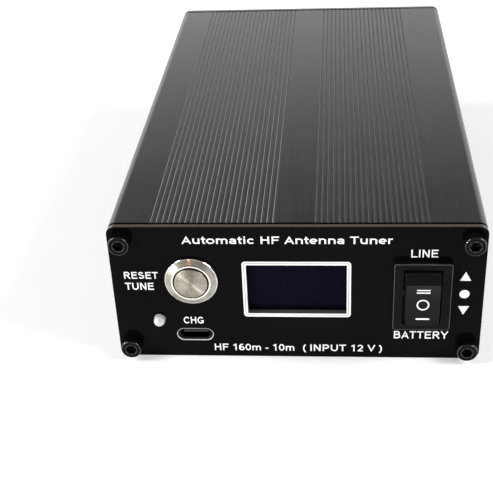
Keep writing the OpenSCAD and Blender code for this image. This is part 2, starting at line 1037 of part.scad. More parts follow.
// A twenty-eight-leg controller chip
module microcontroller()
    color("#1c1d1f")
        translate([chip_at[0], chip_at[1], board_top]) {
            box([-chip_half[0], -chip_half[1], 1], [chip_half[0], chip_half[1], 4.4]);
            for (i = [0:13], side = [-1, 1])
                translate([(i - 6.5) * pin_pitch, side * chip_row, 0])
                    box([-0.25, -0.2, 0.02], [0.25, 0.2, 2.6]);
        }

module electrolytics()
    color("#22242a")
        for (i = [0, 1])
            translate([electrolytic_at[0], electrolytic_at[1] + i * electrolytic_pitch,
                board_top + 0.02])
                cylinder(r = electrolytic_r, h = electrolytic_h, $fn = 32);

module voltage_regulator()
    color("#26282b")
        translate([regulator_at[0], regulator_at[1], board_top + 0.02]) {
            box([-2.2, -5, 3], [2.2, 5, 12]);
            box([0.9, -5, 12], [2.2, 5, 18]);
            for (y = [-pin_pitch, 0, pin_pitch])
                translate([0, y, 0])
                    box([-0.3, -0.4, 0], [0.3, 0.4, 3.1]);
        }

// Plug-in connectors along the front edge of the board
module board_headers()
    color("#e4e2da")
        for (x = header_x)
            translate([x, header_y, board_top + 0.02])
                box([-5, -2.8, 0], [5, 2.8, header_h]);

// ---------------------------------------------------------------- rear sockets

// Moves to a socket's axis, with Y counted from the rear panel's outer face
module at_socket(x)
    translate([x, rear_y, socket_z])
        children();

// The threaded barrel and the neck that holds it in its flange
module coax_socket()
    difference() {
        union() {
            bar_y(socket_r, flange_t, flange_t + socket_len, 96);
            bar_y(neck_r, -neck_len, flange_t + play, 96);
        }
        bar_y(socket_bore_r, insulator_front, flange_t + socket_len + play, 96);
        bar_y(insulator_r + gap, -neck_len - play, insulator_front + play, 96);
    }

// The square flanges that the barrels are pressed into
module socket_flanges()
    color("#b4b7ba")
        for (x = [antenna_x, input_x])
            at_socket(x)
                difference() {
                    along_y(0.01, flange_t - 0.01)
                        round_rect(flange_w, flange_w, flange_corner_r);
                    bar_y(neck_r + 0.01, -play, flange_t + play, 96);
                    for (x = [-1, 1], z = [-1, 1])
                        translate([x * flange_pitch / 2, 0, z * flange_pitch / 2])
                            bar_y(screw_r + play, -play, flange_t + play);
                }

module antenna_socket()
    color("#b4b7ba")
        at_socket(antenna_x)
            coax_socket();

module input_socket()
    color("#b4b7ba")
        at_socket(input_x)
            coax_socket();

module socket_insulators()
    color("#eceae4")
        for (x = [antenna_x, input_x])
            at_socket(x)
                difference() {
                    bar_y(insulator_r, -6.4, insulator_front + 0.05, 96);
                    bar_y(contact_r + gap, 2.3, insulator_front + 0.2, 64);
                    bar_y(solder_cup_r + gap, -6.5, 2.4, 48);
                }

module socket_contacts()
    color("#c9b27a")
        for (x = [antenna_x, input_x])
            at_socket(x)
                difference() {
                    union() {
                        bar_y(contact_r, 2.4, contact_front, 64);
                        bar_y(solder_cup_r, -10, 2.4 + play, 48);
                    }
                    bar_y(contact_bore_r, contact_front - contact_bore_len, contact_front + play, 64);
                    bar_y(solder_hole_r, -10 - play, -6.5, 32);
                    for (a = [45, 135])
                        rotate([0, a, 0])
                            box([-4, contact_front - slit_len, -slit_half],
                                [4, contact_front + play, slit_half]);
                }

module at_flange_screws()
    for (c = [antenna_x, input_x], x = [-1, 1], z = [-1, 1])
        translate([c + x * flange_pitch / 2, rear_y, socket_z + z * flange_pitch / 2])
            children();

module socket_screws()
    color("#b9bcc0")
        at_flange_screws()
            difference() {
                union() {
                    bar_y(flange_head_r, flange_t + 0.02, flange_t + flange_head_h);
                    bar_y(screw_r, -5, flange_t + play);
                }
                for (half = [cross_half, [cross_half[1], cross_half[0]]])
                    box([-half[0], flange_t + flange_head_h - cross_depth, -half[1]],
                        [half[0], flange_t + flange_head_h + play, half[1]]);
            }

module socket_nuts()
    color("#b9bcc0")
        at_flange_screws()
            difference() {
                bar_y(flange_nut_r, -panel_t - flange_nut_t, -panel_t - 0.02, 6);
                bar_y(screw_r + 0.03, -panel_t - flange_nut_t - play, -panel_t);
            }

// Bare wires from the sockets' solder cups down to the board
module rf_leads()
    color("#c98a4a")
        for (x = [antenna_x, input_x])
            translate([x, 0, 0]) {
                translate([0, 0, socket_z])
                    bar_y(rf_lead_r, rf_lead_y, rear_y - 7, 24);
                translate([0, rf_lead_y, board_top + 0.02])
                    cylinder(r = rf_lead_r, h = socket_z - board_top - 0.02, $fn = 24);
                translate([0, rf_lead_y, socket_z])
                    sphere(r = rf_lead_r, $fn = 24);
            }

// ---------------------------------------------------------------- power jack

module power_jack()
    color("#1c1d1f")
        at_socket(jack_x)
            difference() {
                union() {
                    bar_y(jack_flange_r, 0.01, jack_flange_t, 64);
                    bar_y(jack_body_r, -jack_body_len, play, 64);
                }
                bar_y(jack_bore_r, -jack_bore_len, jack_flange_t + play, 64);
                bar_y(jack_pin_r + gap, -jack_body_len - play, -jack_bore_len + play, 32);
            }

module jack_pin()
    color("#c4c7ca")
        at_socket(jack_x)
            bar_y(jack_pin_r, -jack_tail, jack_pin_front, 32);

module jack_nut()
    color("#b9bcc0")
        at_socket(jack_x)
            difference() {
                bar_y(jack_nut_r, -panel_t - jack_nut_t, -panel_t - 0.02, 6);
                bar_y(jack_body_r + 0.03, -panel_t - jack_nut_t - play, -panel_t, 64);
            }

// ---------------------------------------------------------------- leads

// Display and button leads, over the battery to the board's plugs
module signal_leads()
    color("#c8c24a") {
        pins_y = inside_front + tape_t + glass_t + display_board_t + 8.8;
        for (i = [0:3]) {
            x = window_x + (i - 1.5) * pin_pitch;
            sweep([[x, pins_y, window_z + header_z], [x, -66, 34.3], [x, -60, 32], [x, -50, 29],
                [x, -35, 27.5], [x, -22, 27.5], [x + 1, -14, 26.5], [x + 1.6, -8, 23.5],
                [x + 1.8, -6, 20], [x + 1.8, -6, 17]], signal_lead_r);
        }
        for (side = [-1, 1])
            sweep([[button_x + side * button_pin_x, front_y + 19.3, button_z],
                [button_x + side * button_pin_x, -60, button_z + 0.4], [-26 + side * 1.5, -54, 27.5],
                [-22 + side * 1.5, -45, 29], [-10 + side * 1.5, -30, 31.5],
                [6 + side * 1.5, -18, 31.5], [13 + side * 1.5, -10, 29],
                [15 + side * 1.5, -6, 24], [15 + side * 1.5, -6, 17]], signal_lead_r);
    }

// Battery, rocker and power-jack leads
module power_leads()
    color("#a3231f") {
        sweep([[rocker_x, pivot_y + 22.3, rocker_z], [rocker_x, -56, 21.5], [31, -50, 26],
            [29, -40, 28], [27, -25, 28], [27, -12, 27.5], [27, -7, 24], [27, -6, 20],
            [27, -6, 17]], power_lead_r);
        sweep([[rocker_x, pivot_y + 22.3, rocker_z + terminal_pitch], [rocker_x + 1, -56, 27.6],
            [38, -48, 31], [42, -36, 32], [43, -10, 32], [43, 25, 32], [43, 55, 32],
            [42, 63, 30], [38.5, 66.5, 26], [37, 67.5, 23.8],
            [37, 67.5, 21.6]], power_lead_r);
        sweep([[rocker_x, pivot_y + 22.3, rocker_z - terminal_pitch], [rocker_x + 1, -56.5, 15],
            [37, -55.8, 14], [39.5, -52, 13], [40, -46, 12.8], [38.5, -42.8, 12.8],
            [36, -42.8, 12.8]], power_lead_r);
        sweep([[36, -23.2, 12.8], [38.6, -23.2, 13], [40, -20, 16], [40, -14, 22],
            [39, -8, 23], [38, -6, 20.5], [38, -6, 17]], power_lead_r);
    }

lower_shell();
upper_shell();
front_panel();
rear_panel();
front_screws();
rear_screws();
button_housing();
button_seal();
button_nut();
button_cap();
button_bridge();
button_spring();
button_base();
button_pins();
rocker_housing();
rocker_paddle();
rocker_pivot();
rocker_plunger();
rocker_spring();
rocker_blade();
rocker_terminals();
display_glass();
display_board();
display_tape();
display_header();
charge_lamp();
lamp_leads();
port_shell();
port_tongue();
charger_board();
charger_parts();
charger_pad();
battery_holder();
battery_cells();
battery_contacts();
main_board();
relays();
toroid_cores();
toroid_windings();
air_coils();
capacitors();
bridge_cores();
bridge_windings();
microcontroller();
electrolytics();
voltage_regulator();
board_headers();
antenna_socket();
input_socket();
socket_flanges();
socket_insulators();
socket_contacts();
socket_screws();
socket_nuts();
rf_leads();
power_jack();
jack_pin();
jack_nut();
signal_leads();
power_leads();
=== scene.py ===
"""The looks of an antenna tuner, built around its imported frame. Metres, +X right, +Y back, +Z up."""

import json
import math

import bmesh
import bpy
from mathutils import Matrix, Vector
from mathutils.geometry import tessellate_polygon


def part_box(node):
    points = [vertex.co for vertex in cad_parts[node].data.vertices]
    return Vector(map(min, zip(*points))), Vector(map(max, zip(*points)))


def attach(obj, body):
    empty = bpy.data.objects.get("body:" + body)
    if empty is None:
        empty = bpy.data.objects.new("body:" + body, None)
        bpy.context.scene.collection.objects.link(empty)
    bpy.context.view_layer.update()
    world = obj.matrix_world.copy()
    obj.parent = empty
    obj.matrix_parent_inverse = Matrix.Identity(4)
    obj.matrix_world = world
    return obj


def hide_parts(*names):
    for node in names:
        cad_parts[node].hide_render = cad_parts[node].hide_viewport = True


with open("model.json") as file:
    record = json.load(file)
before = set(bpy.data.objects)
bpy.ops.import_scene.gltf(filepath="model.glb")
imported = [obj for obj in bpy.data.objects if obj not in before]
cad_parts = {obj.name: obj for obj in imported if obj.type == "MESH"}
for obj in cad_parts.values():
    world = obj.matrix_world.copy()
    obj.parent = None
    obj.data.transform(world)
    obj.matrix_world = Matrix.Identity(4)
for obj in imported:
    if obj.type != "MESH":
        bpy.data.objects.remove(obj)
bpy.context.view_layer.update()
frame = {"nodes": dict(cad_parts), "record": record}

MM = 0.001
SEGMENTS = 96


def placed(name, data):
    """A new object in the scene that holds the data."""
    made = bpy.data.objects.new(name, data)
    bpy.context.scene.collection.objects.link(made)
    return made


# ---------------- camera

CAMERA_AT = Vector((11.058, -308.992, 177.191)) * MM
CAMERA_YAW = math.radians(-5.882)
CAMERA_DOWN = math.radians(31.908)
CAMERA_ROLL = math.radians(-3.047)
CAMERA_LENS = 76.40


def make_camera():
    """A camera in front of the object and above it, turned a little to the left."""
    forward = Vector((
        math.sin(CAMERA_YAW) * math.cos(CAMERA_DOWN),
        math.cos(CAMERA_YAW) * math.cos(CAMERA_DOWN),
        -math.sin(CAMERA_DOWN),
    ))
    level = Vector((math.cos(CAMERA_YAW), -math.sin(CAMERA_YAW), 0))
    upright = level.cross(forward)
    right = level * math.cos(CAMERA_ROLL) + upright * math.sin(CAMERA_ROLL)
    up = upright * math.cos(CAMERA_ROLL) - level * math.sin(CAMERA_ROLL)
    data = bpy.data.cameras.new("camera")
    data.lens = CAMERA_LENS
    data.sensor_width = 36
    data.clip_start = 0.01
    data.clip_end = 20
    camera = placed("camera", data)
    turn = Matrix((right, up, -forward)).transposed().to_4x4()
    camera.matrix_world = Matrix.Translation(CAMERA_AT) @ turn
    bpy.context.scene.camera = camera


make_camera()

# ---------------- materials


class Graph:
    """Adds shader nodes to a tree and links them."""

    def __init__(self, tree, coordinates):
        self.tree = tree
        self.place = self.add("ShaderNodeTexCoord").outputs[coordinates]

    def add(self, kind, **settings):
        node = self.tree.nodes.new(kind)
        for key, value in settings.items():
            setattr(node, key, value)
        return node

    def link(self, source, target):
        self.tree.links.new(source, target)

    def parts(self, vector):
        node = self.add("ShaderNodeSeparateXYZ")
        self.link(vector, node.inputs["Vector"])
        return node.outputs

    def spread(self, value, low, high, start=0.3, end=0.7, **settings):
        """Maps a value, such as a noise, to a range."""
        node = self.add("ShaderNodeMapRange", **settings)
        for key, number in (("From Min", start), ("From Max", end), ("To Min", low), ("To Max", high)):
            node.inputs[key].default_value = number
        self.link(value, node.inputs["Value"])
        return node.outputs["Result"]

    def math(self, operation, first, second=None):
        node = self.add("ShaderNodeMath", operation=operation)
        for socket, value in zip(node.inputs, (first, second)):
            if isinstance(value, (int, float)):
                socket.default_value = value
            elif value is not None:
                self.link(value, socket)
        return node.outputs["Value"]

    def blend(self, first, share, second):
        """Two values added, the first by its share and the second by the rest."""
        rest = self.math("MULTIPLY", second, 1 - share)
        return self.math("ADD", self.math("MULTIPLY", first, share), rest)


class Nodes(Graph):
    """Builds one material around a single Principled BSDF."""

    def __init__(self, name, **values):
        self.material = bpy.data.materials.new(name)
        self.material.use_nodes = True
        super().__init__(self.material.node_tree, "Object")
        self.shader = self.tree.nodes["Principled BSDF"]
        self.set(**values)

    def set(self, **values):
        for key, value in values.items():
            self.shader.inputs[key.replace("_", " ")].default_value = value

    def stretched(self, scale):
        """The place, scaled along each axis."""
        mapping = self.add("ShaderNodeMapping")
        mapping.inputs["Scale"].default_value = scale
        self.link(self.place, mapping.inputs["Vector"])
        return mapping.outputs["Vector"]

    def noise(self, vector, scale, detail=4, roughness=0.55):
        node = self.add("ShaderNodeTexNoise")
        for key, value in (("Scale", scale), ("Detail", detail), ("Roughness", roughness)):
            node.inputs[key].default_value = value
        self.link(vector, node.inputs["Vector"])
        return node.outputs["Fac"]

    def mix(self, amount, first, second):
        """A colour between two, each a colour or a socket."""
        node = self.add("ShaderNodeMix", data_type="RGBA")
        self.link(amount, node.inputs["Factor"])
        for socket, value in ((node.inputs[6], first), (node.inputs[7], second)):
            if isinstance(value, tuple):
                socket.default_value = (*value, 1)
            else:
                self.link(value, socket)
        return node.outputs[2]

    def colour(self, socket):
        self.link(socket, self.shader.inputs["Base Color"])

    def tone(self, noise, first, second):
        """Lets a noise run the colour from one to another."""
        self.colour(self.mix(self.spread(noise, 0, 1), first, second))

    def surface(self, gloss, low, high, height=None, bump=0):
        """Roughness between two values by a noise, and a bump by the same or another. It finishes the
        material."""
        self.link(self.spread(gloss, low, high), self.shader.inputs["Roughness"])
        if bump:
            node = self.add("ShaderNodeBump")
            node.inputs["Distance"].default_value = bump
            node.inputs["Strength"].default_value = 1
            self.link(gloss if height is None else height, node.inputs["Height"])
            self.link(node.outputs["Normal"], self.shader.inputs["Normal"])
        return self.material


def scaled(colour, factor):
    return tuple(c * factor for c in colour)


def plain(colour, rough, vary=0.12, grain=2600, bump=0.000004, metallic=0.0, specular=0.5, coat=0.0):
    """A moulded, plated or painted finish: blotches in its colour, uneven gloss and a fine grain."""
    n = Nodes("plain", Metallic=metallic, Specular_IOR_Level=specular, Coat_Weight=coat, Coat_Roughness=0.08)
    blotches = n.noise(n.place, 140)
    grains = n.noise(n.place, grain, detail=6)
    n.tone(blotches, scaled(colour, 1 - vary), scaled(colour, 1 + vary))
    return n.surface(grains, rough * 0.85, min(1, rough * 1.18), bump=bump)


def anodised():
    """Satin black anodising on an extrusion: fine streaks along its length and a soft mottle."""
    n = Nodes("anodised_black", Metallic=0.0, Specular_IOR_Level=0.5)
    streaks = n.noise(n.stretched((1, 0.012, 1)), 2600, detail=5, roughness=0.7)
    mottle = n.noise(n.place, 45)
    grains = n.noise(n.place, 5200, detail=3)
    base = n.mix(n.spread(mottle, 0, 1), (0.0085, 0.0090, 0.0098), (0.0120, 0.0126, 0.0136))
    n.colour(n.mix(n.spread(streaks, 0, 0.5), base, (0.0175, 0.0182, 0.0194)))
    return n.surface(n.blend(streaks, 0.6, mottle), 0.22, 0.30, n.blend(streaks, 0.7, grains), 0.0000015)


# Where along Y the lips' painted highlight runs from full, at the front, to none.
LIP_HIGHLIGHT_FROM_TO = (-80 * MM, 40 * MM)


def painted_lip_highlight(tone):
    """A groove's lip in a lighter colour than the anodising, with streaks along it: a painted highlight,
    strongest towards the front and fading out towards the back.
    """
    n = Nodes("painted_lip_highlight", Specular_IOR_Level=0.6)
    streaks = n.noise(n.stretched((1, 0.03, 1)), 1800, detail=4, roughness=0.6)
    front = n.spread(n.parts(n.place)["Y"], 1.0, 0.0, *LIP_HIGHLIGHT_FROM_TO)
    highlight_tone = n.mix(n.spread(streaks, 0, 1), (tone * 0.8,) * 3, (tone * 1.25,) * 3)
    n.colour(n.mix(front, (0.012, 0.012, 0.013), highlight_tone))
    return n.surface(streaks, 0.26, 0.38, bump=0.000002)


def lacquer():
    """Gloss black lacquer on the panels, with a slight orange peel."""
    n = Nodes("panel_lacquer", Specular_IOR_Level=0.04)
    haze = n.noise(n.place, 38, detail=5)
    peel = n.noise(n.place, 420, detail=2)
    dust = n.noise(n.place, 3800, detail=2)
    n.tone(haze, (0.0014, 0.0014, 0.0016), (0.0030, 0.0028, 0.0028))
    return n.surface(n.blend(haze, 0.7, dust), 0.10, 0.18, peel, 0.000004)


def laminate():
    """The cut edge of the panels: layers of tan glass cloth."""
    n = Nodes("panel_laminate", Specular_IOR_Level=0.7)
    layers = n.noise(n.stretched((0.25, 9, 0.25)), 420, detail=3)
    fibres = n.noise(n.stretched((1, 3, 1)), 2400, detail=4)
    tone = n.mix(n.spread(layers, 0, 1), (0.046, 0.034, 0.020), (0.078, 0.060, 0.037))
    n.colour(n.mix(n.spread(fibres, 0, 0.45), tone, (0.028, 0.021, 0.013)))
    return n.surface(fibres, 0.16, 0.28, bump=0.000008)


def turned(colour, rough, lines=9000, anisotropic=0.0, bump=0.000002, stain=0.5, spread=(0.68, 1.2)):
    """The button's metal, turned about its axis along Y: rings in its gloss, height and tone."""
    n = Nodes("turned", Metallic=1.0, Anisotropic=anisotropic)
    moved = n.add("ShaderNodeVectorMath", operation="SUBTRACT")
    moved.inputs[1].default_value = (button_at.x, 0, button_at.z)
    n.link(n.place, moved.inputs[0])
    parts = n.parts(moved.outputs["Vector"])
    squares = [n.math("POWER", parts[axis], 2.0) for axis in "XZ"]
    along = n.add("ShaderNodeCombineXYZ")
    n.link(n.math("SQRT", n.math("ADD", *squares)), along.inputs["X"])
    n.link(parts["Y"], along.inputs["Y"])
    rings = n.noise(along.outputs["Vector"], lines, detail=4, roughness=0.7)
    smear = n.noise(n.place, 340, detail=6, roughness=0.7)
    tone = n.spread(n.blend(smear, stain, rings), 0, 1, 0.36, 0.64)
    n.colour(n.mix(tone, scaled(colour, spread[0]), scaled(colour, spread[1])))
    if anisotropic:
        n.set(Anisotropic_Rotation=0.25)
        tangent = n.add("ShaderNodeTangent", direction_type="RADIAL", axis="Y")
        n.link(tangent.outputs["Tangent"], n.shader.inputs["Tangent"])
    return n.surface(rings, *rough, bump=bump)


def display_face(middle, half_w, half_h):
    """Dark display glass: a navy active area inside a black border."""
    n = Nodes("display_face", Specular_IOR_Level=0.02)
    parts = n.parts(n.place)
    edge = 0.15 * MM
    inside = []
    for axis, centre, half in (("X", middle.x, half_w), ("Z", middle.z, half_h)):
        away = n.math("ABSOLUTE", n.math("SUBTRACT", parts[axis], centre))
        inside.append(n.spread(away, 1, 0, half - edge, half + edge))
    area = n.math("MULTIPLY", *inside)
    cloud = n.noise(n.place, 130, detail=3)
    navy = n.mix(n.spread(cloud, 0, 1), (0.0028, 0.0019, 0.0082), (0.0040, 0.0027, 0.0108))
    n.colour(n.mix(area, (0.0015, 0.0015, 0.0018), navy))
    return n.surface(cloud, 0.06, 0.12)


def board(colour):
    """Solder mask over copper tracks."""
    n = Nodes("board", Specular_IOR_Level=0.5, Coat_Weight=0.25, Coat_Roughness=0.15)
    tracks = n.add("ShaderNodeTexBrick")
    tracks.inputs["Scale"].default_value = 160
    tracks.inputs["Mortar Size"].default_value = 0.035
    n.link(n.place, tracks.inputs["Vector"])
    cloth = n.noise(n.place, 1600, detail=2)
    n.colour(n.mix(tracks.outputs["Fac"], colour, scaled(colour, 1.9)))
    height = n.math("ADD", tracks.outputs["Fac"], n.math("MULTIPLY", cloth, 0.3))
    return n.surface(cloth, 0.3, 0.45, height, 0.00003)


def milky():
    """A diffused lamp lens."""
    n = Nodes("lamp_milky", Specular_IOR_Level=0.5, Subsurface_Weight=0.2, Subsurface_Scale=0.0006,
              Coat_Weight=0.4, Coat_Roughness=0.05)
    cloud = n.noise(n.place, 1500, detail=3)
    n.tone(cloud, (0.40, 0.40, 0.42), (0.66, 0.66, 0.68))
    return n.surface(cloud, 0.22, 0.34, bump=0.000008)


def printed(tone=1.0):
    """White screen-printed ink, a little uneven."""
    n = Nodes("printed", Specular_IOR_Level=0.4)
    cover = n.noise(n.place, 2200, detail=5)
    n.tone(cover, scaled((0.84, 0.85, 0.86), tone), scaled((0.95, 0.95, 0.95), tone))
    return n.surface(cover, 0.42, 0.6, bump=0.000006)


def centre(node):
    low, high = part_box(node)
    return (low + high) / 2


button_at = centre("button_cap")
socket_at = {"antenna_socket": centre("antenna_socket"), "input_socket": centre("input_socket")}
jack_at = centre("power_jack")

FINISH = {
    "shell": anodised(),
    "groove_shade": plain((0.008, 0.0082, 0.0088), 0.42, grain=2400, specular=0.34),
    # The lips' lighter finishes: a painted highlight, far stronger on the left than on the right.
    "groove_left_highlight": painted_lip_highlight(0.34),
    "groove_right_highlight": painted_lip_highlight(0.03),
    "panel": lacquer(),
    "laminate": laminate(),
    "print": printed(),
    "print_grey": printed(0.48),
    # A dark finish for the shell's end step and for the walls round the button's cap: painted shade.
    "gap": plain((0.006, 0.006, 0.006), 0.6, grain=2400, specular=0.1),
    # Lighter finishes for the rounded edges of the rocker and its frame: painted highlights.
    "rocker_edge_highlight": plain((0.072, 0.074, 0.080), 0.18, specular=1.0),
    "switch_edge_highlight": plain((0.034, 0.035, 0.038), 0.2, specular=1.0),
    "screw_rim": plain((0.004, 0.004, 0.0046), 0.09, specular=0.55),
    # A far lighter copy of the button's metal for the housing's rims: a painted highlight.
    "rim_highlight": turned((0.90, 0.88, 0.83), (0.10, 0.18), spread=(0.8, 1.08)),
    "milled": plain((0.075, 0.073, 0.070), 0.36, grain=2400),
    # A light finish for the rim of the port's slot: a painted highlight.
    "port_edge_highlight": plain((0.72, 0.71, 0.69), 0.3, specular=0.8),
    "black_screw": plain((0.0030, 0.0030, 0.0034), 0.17, specular=0.06),
    "stainless": turned((0.43, 0.405, 0.35), (0.20, 0.32), anisotropic=0.6, spread=(0.38, 1.3)),
    "stainless_cap": turned((0.35, 0.32, 0.265), (0.33, 0.43), lines=14000,
                            anisotropic=0.9, bump=0.0000012, stain=0.6, spread=(0.5, 1.45)),
    "nickel_steel": plain((0.62, 0.61, 0.59), 0.28, grain=3000, metallic=1.0),
    "spring_steel": plain((0.42, 0.43, 0.44), 0.3, grain=4000, metallic=1.0),
    "seal_rubber": plain((0.012, 0.012, 0.012), 0.7, grain=2200, specular=0.3),
    "contact_brass": plain((0.78, 0.58, 0.25), 0.25, grain=3000, metallic=1.0),
    "black_nylon": plain((0.018, 0.018, 0.019), 0.5, grain=1800),
    "white_nylon": plain((0.72, 0.70, 0.64), 0.5, grain=1800),
    "switch_frame": plain((0.0034, 0.0034, 0.0038), 0.3, specular=0.07),
    "switch_rocker": plain((0.0062, 0.0064, 0.0074), 0.27, specular=0.12),
    "display_glass": display_face(centre("display_glass"), 12.75 * MM, 6.95 * MM),
    "blue_board": board((0.012, 0.045, 0.14)),
    "green_board": board((0.012, 0.075, 0.030)),
    "foam_tape": plain((0.016, 0.016, 0.017), 0.85, grain=1200, bump=0.00003, specular=0.2),
    "lamp_lens": milky(),
    # Near-black for the port's steel shell: painted shade inside the port.
    "port_steel": plain((0.030, 0.029, 0.028), 0.36, metallic=1.0),
    "chip_plastic": plain((0.016, 0.016, 0.017), 0.55, grain=2400, bump=0.00001),
    "cell_sleeve": plain((0.03, 0.16, 0.14), 0.3, grain=900, coat=0.4),
    "relay_case": plain((0.014, 0.016, 0.020), 0.38, grain=1800),
    "red_core": plain((0.33, 0.022, 0.014), 0.55, grain=1500, bump=0.00002),
    "ferrite": plain((0.030, 0.031, 0.033), 0.6, grain=1800, bump=0.00002),
    "copper_wire": plain((0.60, 0.22, 0.08), 0.22, grain=2400, metallic=1.0, coat=0.5),
    "capacitor_coat": plain((0.40, 0.19, 0.045), 0.35, grain=1100, bump=0.00002),
    "capacitor_sleeve": plain((0.016, 0.017, 0.022), 0.35, grain=1500),
    "socket_nickel": plain((0.60, 0.59, 0.57), 0.26, grain=2400, metallic=1.0),
    "ptfe": plain((0.80, 0.79, 0.76), 0.45, vary=0.05, grain=1500),
    "jack_plastic": plain((0.014, 0.014, 0.015), 0.42, grain=1900),
    "signal_insulation": plain((0.52, 0.44, 0.05), 0.5, grain=1400),
    "power_insulation": plain((0.42, 0.018, 0.014), 0.5, grain=1400),
}
for slot, material in FINISH.items():
    material.name = "finish_" + slot

# ---------------- mesh helpers

AXIS_REACH = 1e-9


def in_mm(points):
    return [(a * MM, b * MM) for a, b in points]


def spoke(k, count):
    """Step k of count round a circle, as its cosine and sine."""
    a = 2 * math.pi * k / count
    return math.cos(a), math.sin(a)


def quarter(steps):
    """The angles from nought to a right angle."""
    return [math.pi / 2 * k / steps for k in range(steps + 1)]


def around(bm, at, count, shape):
    """A closed row of vertices about an axis along Y. shape(k) is the radius and the Y at step k."""
    made = []
    for k in range(count):
        radius, y = shape(k)
        c, s = spoke(k, count)
        made.append(bm.verts.new((at.x + radius * c, y, at.z + radius * s)))
    return made


def bridge(bm, a, b):
    """A band of faces between two closed rows of as many vertices."""
    count = len(a)
    return [bm.faces.new((a[k], a[(k + 1) % count], b[(k + 1) % count], b[k])) for k in range(count)]


def tube(bm, rows, closed=False):
    """Skins rows in turn, round to the first one if closed and else with a face at each end."""
    for a, b in zip(rows, rows[1:] + (rows[:1] if closed else [])):
        bridge(bm, a, b)
    if not closed:
        bm.faces.new(rows[0])
        bm.faces.new(rows[-1])


def absorb(bm, other):
    """Adds another bmesh's shape and frees it."""
    mesh = bpy.data.meshes.new("absorbed")
    other.to_mesh(mesh)
    other.free()
    bm.from_mesh(mesh)
    bpy.data.meshes.remove(mesh)


def smooth_by_angle(bm, degrees=32):
    """Shades smooth, with sharp edges wherever faces meet at more than the angle."""
    limit = math.radians(degrees)
    for face in bm.faces:
        face.smooth = True
    for edge in bm.edges:
        edge.smooth = len(edge.link_faces) == 2 and edge.calc_face_angle(0) < limit


def piece(name, bm, slot, finish=None, body="case", replaces=(), sharp=32):
    """Turns a bmesh into a piece that rides on a body. finish lists its materials, if its slot's own
    isn't the only one."""
    bmesh.ops.recalc_face_normals(bm, faces=bm.faces)
    smooth_by_angle(bm, sharp)
    mesh = bpy.data.meshes.new(name)
    bm.to_mesh(mesh)
    bm.free()
    made = placed(name, mesh)
    for key in finish or [slot]:
        mesh.materials.append(FINISH[key])
    flats = made.modifiers.new("flat_faces", "WEIGHTED_NORMAL")
    flats.keep_sharp = True
    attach(made, body)
    if replaces:
        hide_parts(*replaces)


def stand_in(node, bm, slot, finish=None, body="case", sharp=32):
    """The finer piece that stands for a CAD node."""
    piece(node + "_shape", bm, slot, finish, body, [node], sharp)


def copied(node):
    """A CAD node's shape as a clean bmesh: vertices merged and flat faces joined."""
    bm = bmesh.new()
    bm.from_mesh(frame["nodes"][node].data)
    bmesh.ops.remove_doubles(bm, verts=bm.verts, dist=0.000002)
    bmesh.ops.dissolve_limit(bm, angle_limit=math.radians(0.5), verts=bm.verts, edges=bm.edges)
    return bm


def soften(bm, width, segments=2, degrees=40, keep=None, finish=-1):
    """Rounds every edge sharper than the angle, or only those that keep() picks. finish is the
    number of the material that the rounded faces take."""
    limit = math.radians(degrees)
    edges = [e for e in bm.edges if len(e.link_faces) == 2 and e.calc_face_angle(0) > limit
             and (keep is None or keep(e))]
    bmesh.ops.bevel(bm, geom=edges, offset=width, segments=segments, profile=0.5, affect="EDGES",
                    clamp_overlap=True, material=finish)


def rounded_corners(points, radius, steps=5):
    """Replaces each corner of a closed outline by an arc."""
    made = []
    count = len(points)
    for i, corner in enumerate(points):
        before, here, after = Vector(points[i - 1]), Vector(corner), Vector(points[(i + 1) % count])
        back, on = (before - here).normalized(), (after - here).normalized()
        half = back.angle(on) / 2
        reach = radius / math.tan(half)
        middle = here + (back + on).normalized() * (radius / math.sin(half))
        start, end = here + back * reach - middle, here + on * reach - middle
        turn = math.atan2(start.cross(end), start.dot(end))
        made += [middle + Matrix.Rotation(turn * k / steps, 2) @ start for k in range(steps + 1)]
    return made


def rectangle(at, w, h):
    x, z = w / 2, h / 2
    return [(at.x - x, at.z - z), (at.x + x, at.z - z), (at.x + x, at.z + z), (at.x - x, at.z + z)]


def round_rectangle(at, w, h, radius, steps=6):
    return rounded_corners(rectangle(at, w, h), radius, steps)


def ring_of(at, radius, count=48):
    spokes = [spoke(k, count) for k in range(count)]
    return [Vector((at.x + radius * c, at.z + radius * s)) for c, s in spokes]


def on_face(x, z):
    """A place on a panel. Its Y isn't used."""
    return Vector((x, 0, z))


def moved_in(loop, distance):
    """An outline moved to its left by a distance, corners mitred."""
    made = []
    count = len(loop)
    for i in range(count):
        before = (loop[i] - loop[i - 1]).normalized()
        after = (loop[(i + 1) % count] - loop[i]).normalized()
        left = (Vector((-before.y, before.x)) + Vector((-after.y, after.x))).normalized()
        lean = max(0.4, left.dot(Vector((-before.y, before.x))))
        made.append(loop[i] + left * (distance / lean))
    return made


def plate(outline, holes, front, back, edge, steps=3, rim_slot=0, hole_slot=0):
    """A flat plate in X and Z with rounded rims. Outline runs anticlockwise, holes too, and the plate
    spans front to back along Y."""
    bm = bmesh.new()
    rims = [(edge * (1 - math.sin(a)), edge * (1 - math.cos(a))) for a in quarter(steps)]
    sections = [(inset, front + depth) for inset, depth in rims]
    sections += [(inset, back - depth) for inset, depth in reversed(rims)]
    ends = [], []
    for loop in [outline] + [list(reversed(h)) for h in holes]:
        rows = [[bm.verts.new((p.x, y, p.y)) for p in moved_in(loop, inset)] for inset, y in sections]
        for a, b in zip(rows, rows[1:]):
            for face in bridge(bm, a, b):
                face.material_index = rim_slot if loop is outline else hole_slot
        ends[0].append(rows[0])
        ends[1].append(rows[-1])
    for rings in ends:
        corners = [v for ring in rings for v in ring]
        flat = [[Vector((v.co.x, v.co.z, 0)) for v in ring] for ring in rings]
        for a, b, c in tessellate_polygon(flat):
            bm.faces.new((corners[a], corners[b], corners[c]))
    return bm


